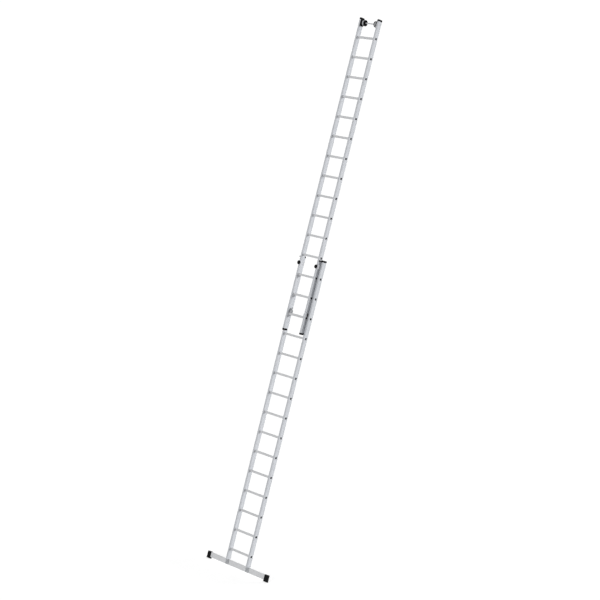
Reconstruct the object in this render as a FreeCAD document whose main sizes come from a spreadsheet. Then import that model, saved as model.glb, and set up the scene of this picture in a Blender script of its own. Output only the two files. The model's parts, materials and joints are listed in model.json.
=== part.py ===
import FreeCAD, Part
import math
import os
import Sketcher

# Two-part aluminium push-up extension ladder, leaning in its working position.
# World frame: +X along the rungs to the climber's right, +Y towards the wall, +Z up. The origin is on
# the floor, midway between the feet, on the line where the soles touch it.
# Ladder frame, used by every sketch: x along the rungs, y through the ladder towards the wall and z up
# along the stiles. Its origin is the middle of a section's lowest rung, on the rung's axis.

SIZES = {
    # stance and step spacing
    "lean": 20,
    "rung_pitch": 280,
    "rung_count": 15,
    "overlap_rungs": 3,
    # stiles: extruded box sections
    "base_width": 420,
    "fly_width": 350,
    "stile_width": 25,
    "stile_depth": 75,
    "stile_side_wall": 1.8,
    "stile_face_wall": 2.6,
    "stile_corner": 3,
    "base_foot": 149,
    "base_head": 250,
    "fly_foot": 228,
    "fly_head": 260,
    "fly_clearance": 1.5,
    # rungs: square tube, upset against the stiles on both sides
    "rung_size": 30,
    "rung_wall": 1.8,
    "rung_corner": 4,
    "rung_groove_width": 1.6,
    "rung_groove_depth": 0.5,
    "rung_groove_spacing": 4.4,
    "rung_groove_count": 5,
    "collar_size": 34,
    "upset_corner": 5,
    "collar_thick": 2.5,
    "flange_size": 33,
    "flange_thick": 1,
    # plastic plugs in the rung ends
    "plug_size": 28,
    "plug_head": 1.4,
    "plug_stem": 12,
    "plug_corner": 3.5,
    # plastic caps on the stile ends
    "cap_lip": 1.2,
    "cap_skirt": 16,
    "cap_dome": 10,
    "cap_round": 5,
    "guide_arm_inset": 6.2,
    "guide_arm_bite": 5,
    "guide_arm_height": 14,
    "guide_arm_round": 2,
    "bearing_plate_thick": 3,
    "bearing_plate_drop": 108,
    "bearing_plate_corner": 6,
    # guides at the top of the base section
    "guide_drop": 92,
    "guide_height": 58,
    "guide_plate": 5,
    "guide_tail": 30,
    "guide_tail_round": 12,
    "guide_bend": 4,
    "glide_radius": 27,
    "glide_inset": 13.5,
    "glide_rear": 5.4,
    "glide_rear_radius": 17,
    "glide_round": 5,
    "glide_front": 10,
    "glide_neck": 9,
    "glide_gap": 0.4,
    "rivet_radius": 3,
    "rivet_head_radius": 5.5,
    "rivet_head": 2.4,
    "rivet_tail_radius": 3.7,
    "rivet_tail": 4,
    "guide_rivet_inset": 7.5,
    "guide_rivet_spacing": 24,
    # wall rollers at the top of the fly section
    "roller_height": 204,
    "roller_behind": 12,
    "roller_radius": 43.5,
    "roller_length": 56,
    "roller_tyre": 20,
    "roller_rim": 8,
    "roller_hub_radius": 37,
    "roller_play": 0.6,
    "tyre_round": 2,
    "axle_radius": 9,
    "axle_bore_radius": 7,
    "axle_collar_radius": 13,
    "axle_collar": 4,
    "axle_flange_radius": 12,
    "axle_flange": 2,
    "running_clearance": 0.06,
    # drop hooks on the lowest fly rung
    "hook_bracket_width": 28,
    "hook_bracket_depth": 50,
    "hook_bracket_height": 44,
    "hook_bracket_round": 12,
    "hook_bracket_bend": 3,
    "hook_cheek": 4,
    "hook_floor": 4,
    "collar_fit": 0.3,
    "hook_rivet_behind": -3,
    "hook_rivet_height": 33,
    "hook_rivet_spacing": 18,
    "hook_width": 14,
    "hook_play": 0.5,
    "hook_pivot_behind": 24,
    "hook_pivot_height": 28,
    "hook_pin_radius": 4,
    "hook_pin_head": 2.5,
    "hook_pin_head_radius": 6,
    "hook_boss_radius": 8.5,
    "hook_seat_start": 8,
    "hook_seat_gap": 0.4,
    "hook_arm": 13,
    "hook_bend": 5,
    "hook_claw": 7.5,
    "hook_claw_drop": 19,
    "hook_claw_taper": 3,
    "hook_lift": 115,
    # side glides between the two sections
    "side_glide_thick": 9.2,
    "side_glide_depth": 20,
    "side_glide_height": 44,
    "side_glide_behind": 6,
    "side_glide_lift": 22,
    "side_glide_corner": 4,
    "side_glide_round": 1.5,
    # stabiliser bar
    "bar_length": 1176,
    "bar_height": 73,
    "bar_depth": 25,
    "bar_wall": 2.4,
    "bar_corner": 4,
    "bar_behind": 8.5,
    "bar_groove_width": 5,
    "bar_groove_depth": 0.8,
    "bar_groove_inset": 15,
    "bar_bracket_width": 62,
    "bar_bracket_plate": 3.5,
    "bar_bracket_corner": 4,
    "bar_neck_depth": 8,
    "bar_neck_height": 40,
    "bar_tongue_length": 80,
    "bar_tongue_wall": 4,
    "bar_tongue_fit": 0.3,
    "bar_bolt_spacing": 40,
    "bolt_radius": 4,
    "bolt_head_across": 13,
    "bolt_head": 5.3,
    "nut_height": 6.5,
    "bolt_tail": 1.5,
    # feet
    "shoe_length": 64,
    "shoe_depth": 36,
    "shoe_above": 4,
    "shoe_below": 10,
    "shoe_round": 4,
    "shoe_end_wall": 6,
    "sole_height": 12,
    "sole_overhang": 2,
    "sole_radius": 50,
    "sole_groove_width": 3,
    "sole_groove_depth": 4,
    "sole_groove_spacing": 9,
    "sole_groove_count": 3,
    # how far a cut runs past the face that it opens
    "overrun": 1,
}

doc = FreeCAD.newDocument("ExtensionLadder")
sheet = doc.addObject("Spreadsheet::Sheet", "Sizes")
for row, (alias, number) in enumerate(SIZES.items(), start=1):
    sheet.set(f"A{row}", alias)
    sheet.set(f"B{row}", str(number))
    sheet.setAlias(f"B{row}", alias)
doc.recompute()


class Terms(dict):
    """Names of sheet cells and of lengths worked out from them, as expressions."""

    def __missing__(self, name):
        if name not in SIZES:
            raise KeyError(name)
        return "Sizes." + name


def expression(text):
    """Replace every {name} in the text by its cell or by the worked-out length."""
    return text.format_map(TERMS)


TERMS = Terms()


def define(name, text):
    TERMS[name] = "(" + expression(text) + ")"


# Distances in the ladder frame that several pieces share.
define("stile_length", "({rung_count} - 1) * {rung_pitch}")
define("fly_ahead", "{rung_size} / 2 + {fly_clearance} + {stile_depth} / 2")
define("base_outer", "{base_width} / 2")
define("base_inner", "{base_width} / 2 - {stile_width}")
define("fly_outer", "{fly_width} / 2")
define("fly_inner", "{fly_width} / 2 - {stile_width}")
define("base_top", "{stile_length} + {base_head}")
define("fly_top", "{stile_length} + {fly_head}")
define("fly_rise", "({rung_count} - {overlap_rungs}) * {rung_pitch}")
define("fly_front", "0 - {fly_ahead} - {stile_depth} / 2")
define("bar_top", "0 - {base_foot}")
define("bar_bottom", "{bar_top} - {bar_height}")
define("bar_front", "{bar_behind} - {bar_depth} / 2")
define("bar_back", "{bar_behind} + {bar_depth} / 2")
define("shoe_bottom", "{bar_bottom} - {shoe_below}")
define("sole_bottom", "{shoe_bottom} - {sole_height}")
define("stile_middle", "{base_outer} - {stile_width} / 2")
define("bar_tip", "{bar_length} / 2")
define("guide_middle", "{base_top} - {guide_drop}")
define("guide_low", "{guide_middle} - {guide_height} / 2")
define("guide_high", "{guide_middle} + {guide_height} / 2")
define("glide_centre", "{fly_outer} - {glide_inset}")
define("lip_back", "{fly_front} - {glide_gap} - {glide_rear}")
define("lip_front", "{lip_back} - {guide_plate}")
define("roller_axis", "{stile_length} + {roller_height}")
define("roller_outer_end", "{fly_inner} - {bearing_plate_thick} - {roller_play}")
define("roller_inner_end", "{roller_outer_end} - {roller_length}")
define("rung_top", "{rung_size} / 2")
define("hook_inner", "{fly_inner} - {hook_bracket_width}")
define("hook_front", "0 - {rung_size} / 2")
define("hook_back", "{hook_front} + {hook_bracket_depth}")
define("hook_high", "{rung_top} + {hook_bracket_height}")

# Place of the base section's lowest rung, measured from the floor line in the ladder frame.
define("floor_behind", "0 - ({bar_behind} + {sole_radius} * sin({lean}))")
define("floor_along", "0 - {sole_bottom} - {sole_radius} * (1 - cos({lean}))")


PIECES = []


def value(text):
    return float(sheet.evalExpression(expression(text)))


def place(piece, behind, along, lift="0"):
    """Lean a piece with the ladder, lift it about x and set its own origin in the ladder frame."""
    y = "({floor_behind} + " + behind + ")"
    z = "({floor_along} + " + along + ")"
    turn = "({lean} - " + lift + ")"
    axis = -1 if value(turn) > 0 else 1
    piece.Placement = FreeCAD.Placement(
        FreeCAD.Vector(), FreeCAD.Rotation(FreeCAD.Vector(axis, 0, 0), abs(value(turn)))
    )
    piece.setExpression("Placement.Rotation.Angle", expression(f"{-axis} * {turn} * 1 deg"))
    piece.setExpression("Placement.Base.y", expression(y + " * cos({lean}) + " + z + " * sin({lean})"))
    piece.setExpression("Placement.Base.z", expression(z + " * cos({lean}) - " + y + " * sin({lean})"))


def new_piece(label, section, behind="0", along="0", lift="0"):
    """Start a sub-part that belongs to the base or to the fly section."""
    piece = doc.addObject("PartDesign::Body", "Body_" + label)
    piece.Label = label
    PIECES.append(piece)
    if section == "base":
        place(piece, behind, along, lift)
    else:
        place(piece, "0 - {fly_ahead} + " + behind, "{fly_rise} + " + along, lift)
    return piece


def origin_plane(body, role):
    for item in body.Origin.OriginFeatures:
        if item.Role == role:
            return item
    raise ValueError(role)


def new_sketch(body, name, role, offset):
    sketch = body.newObject("Sketcher::SketchObject", name)
    sketch.AttachmentSupport = [(origin_plane(body, role), "")]
    sketch.MapMode = "FlatFace"
    sketch.setExpression("AttachmentOffset.Base.z", expression(offset))
    return sketch


def constrain(sketch, rules, sizes):
    """Add plain rules, then sizes that are each tied to an expression."""
    first = sketch.ConstraintCount + len(rules)
    limits = [(*where, value(text)) for where, text in sizes]
    sketch.addConstraint([Sketcher.Constraint(*rule) for rule in rules + limits])
    for index, (where, text) in enumerate(sizes, start=first):
        sketch.setExpression(f"Constraints[{index}]", expression(text))


def at(geometry, point, axis, text):
    """Size that fixes one coordinate of a sketch point, measured from the sketch's origin."""
    kind = "DistanceX" if axis == "x" else "DistanceY"
    return (kind, -1, 1, geometry, point), text


def draw_polygon(sketch, corners):
    """Closed outline with straight sides; each corner is a pair of expressions."""
    first = sketch.GeometryCount
    points = [FreeCAD.Vector(value(x), value(y), 0) for x, y in corners]
    count = len(points)
    sketch.addGeometry([Part.LineSegment(points[k], points[(k + 1) % count]) for k in range(count)])
    rules = [("Coincident", first + k, 2, first + (k + 1) % count, 1) for k in range(count)]
    sizes = []
    for k, (x, y) in enumerate(corners, start=first):
        sizes += [at(k, 1, "x", x), at(k, 1, "y", y)]
    constrain(sketch, rules, sizes)


def draw_rectangle(sketch, left, right, low, high):
    draw_polygon(sketch, [(left, low), (right, low), (right, high), (left, high)])


def draw_rounded(sketch, left, right, low, high, radius):
    """Rectangle with four equal corner arcs."""
    first = sketch.GeometryCount
    x0, x1, y0, y1, r = (value(text) for text in (left, right, low, high, radius))
    sides = [
        ((x0 + r, y0), (x1 - r, y0)),
        ((x1, y0 + r), (x1, y1 - r)),
        ((x1 - r, y1), (x0 + r, y1)),
        ((x0, y1 - r), (x0, y0 + r)),
    ]
    centres = [(x1 - r, y0 + r), (x1 - r, y1 - r), (x0 + r, y1 - r), (x0 + r, y0 + r)]
    shapes = []
    rules = [("Horizontal", first), ("Vertical", first + 2)]
    for k in range(4):
        (ax, ay), (bx, by) = sides[k]
        shapes.append(Part.LineSegment(FreeCAD.Vector(ax, ay, 0), FreeCAD.Vector(bx, by, 0)))
        circle = Part.Circle(FreeCAD.Vector(*centres[k], 0), FreeCAD.Vector(0, 0, 1), r)
        start = math.radians(-90 + 90 * k)
        shapes.append(Part.ArcOfCircle(circle, start, start + math.pi / 2))
        arc = first + 2 * k + 1
        rules.append(("Tangent", arc - 1, 2, arc, 1))
        rules.append(("Tangent", arc, 2, first + (2 * k + 2) % 8, 1))
        if k > 0:
            rules.append(("Equal", first + 1, arc))
    sketch.addGeometry(shapes)
    sizes = [
        (("Radius", first + 1), radius),
        at(first, 1, "y", low),
        at(first + 2, 1, "x", right),
        at(first + 4, 1, "y", high),
        at(first + 6, 1, "x", left),
    ]
    constrain(sketch, rules, sizes)


def draw_square(sketch, half, radius):
    """Rounded square about the sketch's origin."""
    draw_rounded(sketch, "0 - " + half, half, "0 - " + half, half, radius)


def draw_circle(sketch, x, y, radius):
    index = sketch.GeometryCount
    centre = FreeCAD.Vector(value(x), value(y), 0)
    sketch.addGeometry(Part.Circle(centre, FreeCAD.Vector(0, 0, 1), value(radius)))
    sizes = [at(index, 3, "x", x), at(index, 3, "y", y), (("Radius", index), radius)]
    constrain(sketch, [], sizes)


def draw_tab(sketch, side, centre, flat, low, high):
    """Strip with a square end at x = flat and a half-round end about x = centre."""
    xc, xf, y0, y1 = (value(text) for text in (centre, flat, low, high))
    circle = Part.Circle(FreeCAD.Vector(xc, (y0 + y1) / 2, 0), FreeCAD.Vector(0, 0, 1), (y1 - y0) / 2)
    start = math.pi / 2 * side
    lower, upper = (2, 1) if side > 0 else (1, 2)
    sketch.addGeometry([
        Part.LineSegment(FreeCAD.Vector(xc, y0, 0), FreeCAD.Vector(xf, y0, 0)),
        Part.LineSegment(FreeCAD.Vector(xf, y0, 0), FreeCAD.Vector(xf, y1, 0)),
        Part.LineSegment(FreeCAD.Vector(xf, y1, 0), FreeCAD.Vector(xc, y1, 0)),
        Part.ArcOfCircle(circle, start, start + math.pi),
    ])
    rules = [
        ("Coincident", 0, 2, 1, 1),
        ("Coincident", 1, 2, 2, 1),
        ("Coincident", 2, 2, 3, upper),
        ("Coincident", 3, lower, 0, 1),
    ]
    sizes = [
        at(0, 1, "x", centre),
        at(0, 1, "y", low),
        at(0, 2, "x", flat),
        at(0, 2, "y", low),
        at(2, 1, "x", flat),
        at(2, 1, "y", high),
        at(2, 2, "x", centre),
        at(2, 2, "y", high),
        at(3, 3, "x", centre),
    ]
    constrain(sketch, rules, sizes)


def draw_hexagon(sketch, x, y, across):
    """Regular hexagon with two level sides, given its size across the flats."""
    corners = []
    for k in range(6):
        turn = 60 * k
        corners.append((
            f"{x} + {across} / sqrt(3) * cos({turn})",
            f"{y} + {across} / sqrt(3) * sin({turn})",
        ))
    draw_polygon(sketch, corners)


def disc(x, y, radius):
    """Function that draws one circle, for a slab."""
    return lambda sketch: draw_circle(sketch, x, y, radius)


TOLERANCE = 1e-4
PLANES = {"x": "YZ_Plane", "y": "XZ_Plane", "z": "XY_Plane"}
CUTS = []


def slab(body, name, axis, low, high, draw, cut=False):
    """Pad or pocket an outline from the coordinate low to the coordinate high along an axis."""
    # The XZ plane's normal points along -y, so a slab across y starts at its high side.
    offset = f"0 - ({high})" if axis == "y" else low
    sketch = new_sketch(body, name + "_sketch", PLANES[axis], offset)
    draw(sketch)
    before = body.Tip
    feature = body.newObject("PartDesign::Pocket" if cut else "PartDesign::Pad", name)
    feature.Profile = sketch
    feature.Refine = False
    feature.setExpression("Length", expression(f"({high}) - ({low})"))
    feature.Reversed = cut
    sketch.Visibility = False
    if cut:
        CUTS.append((body, before, feature))
    return feature


def pattern(body, name, features, axis, length, count):
    """Repeat features along x, y or z over a whole length."""
    roles = {"x": "X_Axis", "y": "Y_Axis", "z": "Z_Axis"}
    row = body.newObject("PartDesign::LinearPattern", name)
    row.Originals = features
    row.Refine = False
    row.Direction = (origin_plane(body, roles[axis]), [""])
    row.setExpression("Length", expression(length))
    row.setExpression("Occurrences", expression(count))
    body.Tip = row
    return row


def mirror(body, name, features):
    """Repeat features on the ladder's other side."""
    twin = body.newObject("PartDesign::Mirrored", name)
    twin.Originals = features
    twin.Refine = False
    twin.MirrorPlane = (origin_plane(body, "YZ_Plane"), [""])
    body.Tip = twin
    return twin


def add_left_copy(body):
    """Repeat the whole right-hand piece on the left, as a second solid."""
    doc.recompute()
    twin = mirror(body, "left_copy", [])
    twin.TransformMode = "Whole shape"


def round_edges(body, name, radius, chosen):
    """Fillet the edges of the body's tip that the test picks."""
    doc.recompute()
    base = body.Tip
    names = [f"Edge{k}" for k, edge in enumerate(base.Shape.Edges, start=1) if chosen(edge)]
    if not names:
        raise RuntimeError(name + " finds no edge on " + body.Label)
    fillet = body.newObject("PartDesign::Fillet", name)
    fillet.Base = (base, names)
    fillet.setExpression("Radius", expression(radius))
    return fillet


def side_span(side, inner, outer):
    """Low and high x of a stretch given by its distances from the ladder's middle."""
    if side > 0:
        return inner, outer
    return f"0 - ({outer})", f"0 - ({inner})"


def side_x(side, distance):
    return distance if side > 0 else f"0 - ({distance})"


def past(low, high):
    """Limits of a cut that runs out through both faces."""
    return f"{low} - {{overrun}}", f"{high} + {{overrun}}"


def edge_at(**levels):
    """Test for edges that keep the given x, y or z from one end to the other."""
    wanted = [("xyz".index(axis), value(text)) for axis, text in levels.items()]

    def chosen(edge):
        return all(
            abs(vertex.Point[number] - level) < TOLERANCE
            for vertex in edge.Vertexes
            for number, level in wanted
        )

    return chosen


def any_of(*tests):
    return lambda edge: any(test(edge) for test in tests)


SIDES = (("left", -1), ("right", 1))

# Depth and height of the two rivets of each guide bracket and of each hook bracket.
GUIDE_RIVETS = [
    ("{guide_tail} - {guide_rivet_inset}", "{guide_middle}"),
    ("{guide_tail} - {guide_rivet_inset} - {guide_rivet_spacing}", "{guide_middle}"),
]
HOOK_RIVETS = [
    ("{hook_rivet_behind}", "{hook_rivet_height}"),
    ("{hook_rivet_behind}", "{hook_rivet_height} + {hook_rivet_spacing}"),
]


# Stiles: four hollow box extrusions, pierced for the rungs and drilled for the fittings.
def make_stile(section, side_name, side):
    body = new_piece(f"{section}_stile_{side_name}", section)
    inner, outer = TERMS[section + "_inner"], TERMS[section + "_outer"]
    left, right = side_span(side, inner, outer)
    foot = "0 - {" + section + "_foot}"
    top = "{" + section + "_top}"

    def profile(sketch):
        half = "{stile_depth} / 2"
        draw_rounded(sketch, left, right, "0 - " + half, half, "{stile_corner}")
        wall = "{stile_side_wall}"
        face = "{stile_depth} / 2 - {stile_face_wall}"
        draw_rectangle(sketch, f"{left} + {wall}", f"{right} - {wall}", "0 - (" + face + ")", face)

    def rung_hole(sketch):
        draw_square(sketch, "{rung_size} / 2", "{rung_corner}")

    slab(body, "extrusion", "z", foot, top, profile)
    hole = slab(body, "rung_hole", "x", *past(left, right), rung_hole, cut=True)
    pattern(body, "rung_holes", [hole], "z", "{stile_length}", "{rung_count}")

    wall = side_span(side, *past(inner, inner + " + {stile_side_wall}"))
    if section == "base":

        def rivet_holes(sketch):
            for y, z in GUIDE_RIVETS:
                draw_circle(sketch, y, z, "{rivet_radius}")

        slab(body, "guide_rivet_holes", "x", *wall, rivet_holes, cut=True)
    else:

        def hook_rivet_holes(sketch):
            for y, z in HOOK_RIVETS:
                draw_circle(sketch, y, z, "{rivet_radius}")

        slab(body, "hook_rivet_holes", "x", *wall, hook_rivet_holes, cut=True)
        axle_hole = disc("{roller_behind}", "{roller_axis}", "{axle_radius}")
        slab(body, "axle_hole", "x", *past(left, right), axle_hole, cut=True)


for section in ("base", "fly"):
    for side_name, side in SIDES:
        make_stile(section, side_name, side)


# Rungs: square tubes through both stiles, upset to a collar inside and a flange outside each stile,
# with shallow grooves along the tread.
def make_rung(section, number):
    body = new_piece(f"{section}_rung_{number:02d}", section, along=f"{number - 1} * {{rung_pitch}}")
    half = "{rung_size} / 2"
    bore = "({rung_size} / 2 - {rung_wall})"
    inner, outer = TERMS[section + "_inner"], TERMS[section + "_outer"]
    end = outer + " + {flange_thick}"

    def ring(sketch, size, hollow, corner):
        draw_square(sketch, size, corner)
        draw_square(sketch, hollow, "{rung_corner} - {rung_wall}")

    def tube(sketch):
        ring(sketch, half, bore, "{rung_corner}")

    def collar(sketch):
        ring(sketch, "{collar_size} / 2", bore, "{upset_corner}")

    def flange(sketch):
        ring(sketch, "{flange_size} / 2", bore, "{upset_corner}")

    def grooves(sketch):
        for k in range(int(value("{rung_groove_count}"))):
            middle = f"{{rung_groove_spacing}} * ({k} - ({{rung_groove_count}} - 1) / 2)"
            draw_rectangle(
                sketch,
                f"0 - {inner} + {{collar_thick}}",
                f"{inner} - {{collar_thick}}",
                middle + " - {rung_groove_width} / 2",
                middle + " + {rung_groove_width} / 2",
            )

    slab(body, "tube", "x", "0 - (" + end + ")", end, tube)
    right = slab(body, "collar", "x", inner + " - {collar_thick}", inner, collar)
    edge = slab(body, "flange", "x", outer, end, flange)
    mirror(body, "upset_ends", [right, edge])
    groove_root = half + " - {rung_groove_depth}"
    slab(body, "tread_grooves", "z", groove_root, half + " + {overrun}", grooves, cut=True)


for section in ("base", "fly"):
    for number in range(1, int(value("{rung_count}")) + 1):
        make_rung(section, number)


# Plugs: a moulded plastic plug closes each rung end, one group for each section.
def make_plugs(section):
    body = new_piece(f"{section}_rung_plugs", section)
    end = TERMS[section + "_outer"] + " + {flange_thick}"
    stem = "({rung_size} / 2 - {rung_wall})"
    head = "{plug_size} / 2"

    def head_outline(sketch):
        draw_square(sketch, head, "{plug_corner}")

    def stem_outline(sketch):
        draw_square(sketch, stem, "{rung_corner} - {rung_wall}")

    features = []
    for side_name, side in SIDES:
        low, high = side_span(side, end, end + " + {plug_head}")
        features.append(slab(body, "head_" + side_name, "x", low, high, head_outline))
        low, high = side_span(side, end + " - {plug_stem}", end)
        features.append(slab(body, "stem_" + side_name, "x", low, high, stem_outline))
    pattern(body, "rung_ends", features, "z", "{stile_length}", "{rung_count}")


for section in ("base", "fly"):
    make_plugs(section)


# Caps: moulded covers over the open stile ends, one group for each end.
def cap_outline(section, grow):
    """Outline of the stile, grown by a lip, on the right-hand side."""

    def draw(sketch):
        draw_rounded(
            sketch,
            TERMS[section + "_inner"] + f" - {grow}",
            TERMS[section + "_outer"] + f" + {grow}",
            f"0 - {{stile_depth}} / 2 - {grow}",
            f"{{stile_depth}} / 2 + {grow}",
            f"{{stile_corner}} + {grow}",
        )

    return draw


def make_top_caps(section, top):
    body = new_piece(f"{section}_top_caps", section)
    crown = top + " + {cap_dome}"
    skirt = top + " - {cap_skirt}"
    slab(body, "cover", "z", skirt, crown, cap_outline(section, "{cap_lip}"))
    round_edges(body, "dome", "{cap_round}", edge_at(z=crown))
    stile = cap_outline(section, "0")
    slab(body, "stile_socket", "z", skirt + " - {overrun}", top, stile, cut=True)
    return body


def make_base_top_caps():
    body = make_top_caps("base", "{base_top}")

    def arm(sketch):
        draw_rectangle(
            sketch,
            "{base_inner} - {guide_arm_inset}",
            "{base_inner} + {guide_arm_bite}",
            "{fly_front}",
            "0 - {stile_depth} / 2 - {cap_lip} / 2",
        )

    slab(body, "guide_arm", "z", "{base_top} - {guide_arm_height}", "{base_top}", arm)
    round_edges(body, "arm_tip", "{guide_arm_round}", edge_at(y="{fly_front}"))
    add_left_copy(body)


def make_fly_top_caps():
    body = make_top_caps("fly", "{fly_top}")
    thick = "{bearing_plate_thick}"

    def plate(sketch):
        half = "{stile_depth} / 2"
        low, high = "{fly_top} - {bearing_plate_drop}", "{fly_top} + {overrun}"
        draw_rounded(sketch, "0 - " + half, half, low, high, "{bearing_plate_corner}")

    axle_hole = disc("{roller_behind}", "{roller_axis}", "{axle_radius}")
    slab(body, "bearing_plate", "x", "{fly_inner} - " + thick, "{fly_inner}", plate)
    slab(body, "axle_hole", "x", *past("{fly_inner} - " + thick, "{fly_inner}"), axle_hole, cut=True)
    add_left_copy(body)


def make_fly_bottom_caps():
    body = new_piece("fly_bottom_caps", "fly")
    end = "0 - {fly_foot}"
    crown = end + " - {cap_dome}"
    skirt = end + " + {cap_skirt}"
    slab(body, "cover", "z", crown, skirt, cap_outline("fly", "{cap_lip}"))
    round_edges(body, "dome", "{cap_round}", edge_at(z=crown))
    slab(body, "stile_socket", "z", end, skirt + " + {overrun}", cap_outline("fly", "0"), cut=True)
    add_left_copy(body)


make_base_top_caps()
make_fly_top_caps()
make_fly_bottom_caps()


# Guides: on each side a riveted aluminium angle reaches round the front of the fly stile and carries
# a plastic glide.
def make_guide_bracket(side_name, side):
    body = new_piece("guide_bracket_" + side_name, "base")
    low, high = side_span(side, "{base_inner} - {guide_plate}", "{base_inner}")
    centre = side_x(side, "{glide_centre}")

    def plate(sketch):
        draw_rectangle(sketch, "{lip_front}", "{guide_tail}", "{guide_low}", "{guide_high}")

    def lip(sketch):
        draw_tab(sketch, side, centre, side_x(side, "{base_inner}"), "{guide_low}", "{guide_high}")

    def rivet_holes(sketch):
        for y, z in GUIDE_RIVETS:
            draw_circle(sketch, y, z, "{rivet_radius}")

    slab(body, "side_plate", "x", low, high, plate)
    slab(body, "lip", "y", "{lip_front}", "{lip_back}", lip)
    tail = any_of(
        edge_at(y="{guide_tail}", z="{guide_low}"),
        edge_at(y="{guide_tail}", z="{guide_high}"),
    )
    round_edges(body, "tail", "{guide_tail_round}", tail)
    bend = edge_at(x=side_x(side, "{base_inner}"), y="{lip_front}")
    round_edges(body, "bend", "{guide_bend}", bend)
    neck_hole = disc(centre, "{guide_middle}", "{glide_neck}")
    slab(body, "neck_hole", "y", *past("{lip_front}", "{lip_back}"), neck_hole, cut=True)
    slab(body, "rivet_holes", "x", *past(low, high), rivet_holes, cut=True)


def make_guide_glides():
    body = new_piece("guide_glides", "base")
    front = "{lip_front} - {glide_front}"
    steps = [
        ("button", front, "{lip_front}", "{glide_radius}"),
        ("neck", "{lip_front}", "{lip_back}", "{glide_neck}"),
        ("pad", "{lip_back}", "{lip_back} + {glide_rear}", "{glide_rear_radius}"),
    ]
    for name, low, high, radius in steps:
        slab(body, name, "y", low, high, disc("{glide_centre}", "{guide_middle}", radius))
    round_edges(body, "button_edge", "{glide_round}", edge_at(y=front))
    add_left_copy(body)


def make_rivets(label, section, seat, places):
    """Blind rivets through a plate and the stile wall behind it: heads, shanks and set tails."""
    body = new_piece(label, section)
    wall = TERMS[section + "_inner"] + " + {stile_side_wall}"
    steps = [
        ("heads", seat + " - {rivet_head}", seat, "{rivet_head_radius}"),
        ("shanks", seat, wall, "{rivet_radius}"),
        ("tails", wall, wall + " + {rivet_tail}", "{rivet_tail_radius}"),
    ]
    for name, low, high, radius in steps:

        def circles(sketch):
            for y, z in places:
                draw_circle(sketch, y, z, radius)

        slab(body, name, "x", low, high, circles)
    add_left_copy(body)


for side_name, side in SIDES:
    make_guide_bracket(side_name, side)
make_guide_glides()
make_rivets("guide_rivets", "base", "{base_inner} - {guide_plate}", GUIDE_RIVETS)


# Stabiliser bar: a wide box extrusion across the foot, bolted to a casting in each stile.
define("bar_middle", "({bar_top} + {bar_bottom}) / 2")
BOLTS = [
    (side_x(side, f"{{stile_middle}} + {step} * {{bar_bolt_spacing}} / 2"), "{bar_middle}")
    for side_name, side in SIDES
    for step in (-1, 1)
]


def bar_outline(sketch):
    draw_rounded(sketch, "{bar_front}", "{bar_back}", "{bar_bottom}", "{bar_top}", "{bar_corner}")


def make_stabiliser_bar():
    body = new_piece("stabiliser_bar", "base")
    wall = "{bar_wall}"
    low_groove = "{bar_bottom} + {bar_groove_inset}"
    high_groove = "{bar_top} - {bar_groove_inset}"

    def profile(sketch):
        bar_outline(sketch)
        draw_rounded(
            sketch,
            "{bar_front} + " + wall,
            "{bar_back} - " + wall,
            "{bar_bottom} + " + wall,
            "{bar_top} - " + wall,
            "{bar_corner} - " + wall,
        )

    def grooves(sketch):
        front = "{bar_front} - {overrun}"
        root = "{bar_front} + {bar_groove_depth}"
        draw_rectangle(sketch, front, root, low_groove, low_groove + " + {bar_groove_width}")
        draw_rectangle(sketch, front, root, high_groove + " - {bar_groove_width}", high_groove)

    def bolt_holes(sketch):
        for x, z in BOLTS:
            draw_circle(sketch, x, z, "{bolt_radius}")

    slab(body, "extrusion", "x", "0 - {bar_tip}", "{bar_tip}", profile)
    slab(body, "grooves", "x", *past("0 - {bar_tip}", "{bar_tip}"), grooves, cut=True)
    slab(body, "bolt_holes", "y", *past("{bar_front}", "{bar_back}"), bolt_holes, cut=True)


def make_bar_brackets():
    body = new_piece("bar_brackets", "base")
    face = "{bar_front} - {bar_bracket_plate}"
    left = "{base_inner} + {stile_side_wall} + {bar_tongue_fit}"
    right = "{base_outer} - {stile_side_wall} - {bar_tongue_fit}"
    reach = "({stile_depth} / 2 - {stile_face_wall} - {bar_tongue_fit})"
    wall = "{bar_tongue_wall}"

    def plate(sketch):
        low = "{stile_middle} - {bar_bracket_width} / 2"
        high = "{stile_middle} + {bar_bracket_width} / 2"
        draw_rounded(sketch, low, high, "{bar_bottom}", "{bar_top}", "{bar_bracket_corner}")

    def neck(sketch):
        draw_rectangle(sketch, left, right, "{bar_front} - {bar_neck_depth}", "{bar_front}")

    def tongue(sketch):
        draw_rectangle(sketch, left, right, "0 - " + reach, reach)
        bore = f"({reach} - {wall})"
        draw_rectangle(sketch, f"{left} + {wall}", f"{right} - {wall}", "0 - " + bore, bore)

    def bolt_holes(sketch):
        for x, z in BOLTS[2:]:
            draw_circle(sketch, x, z, "{bolt_radius}")

    slab(body, "plate", "y", face, "{bar_front}", plate)
    slab(body, "neck", "z", "{bar_top} - {bar_neck_height}", "{bar_top}", neck)
    slab(body, "tongue", "z", "{bar_top}", "{bar_top} + {bar_tongue_length}", tongue)
    slab(body, "bolt_holes", "y", *past(face, "{bar_front}"), bolt_holes, cut=True)
    add_left_copy(body)


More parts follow.
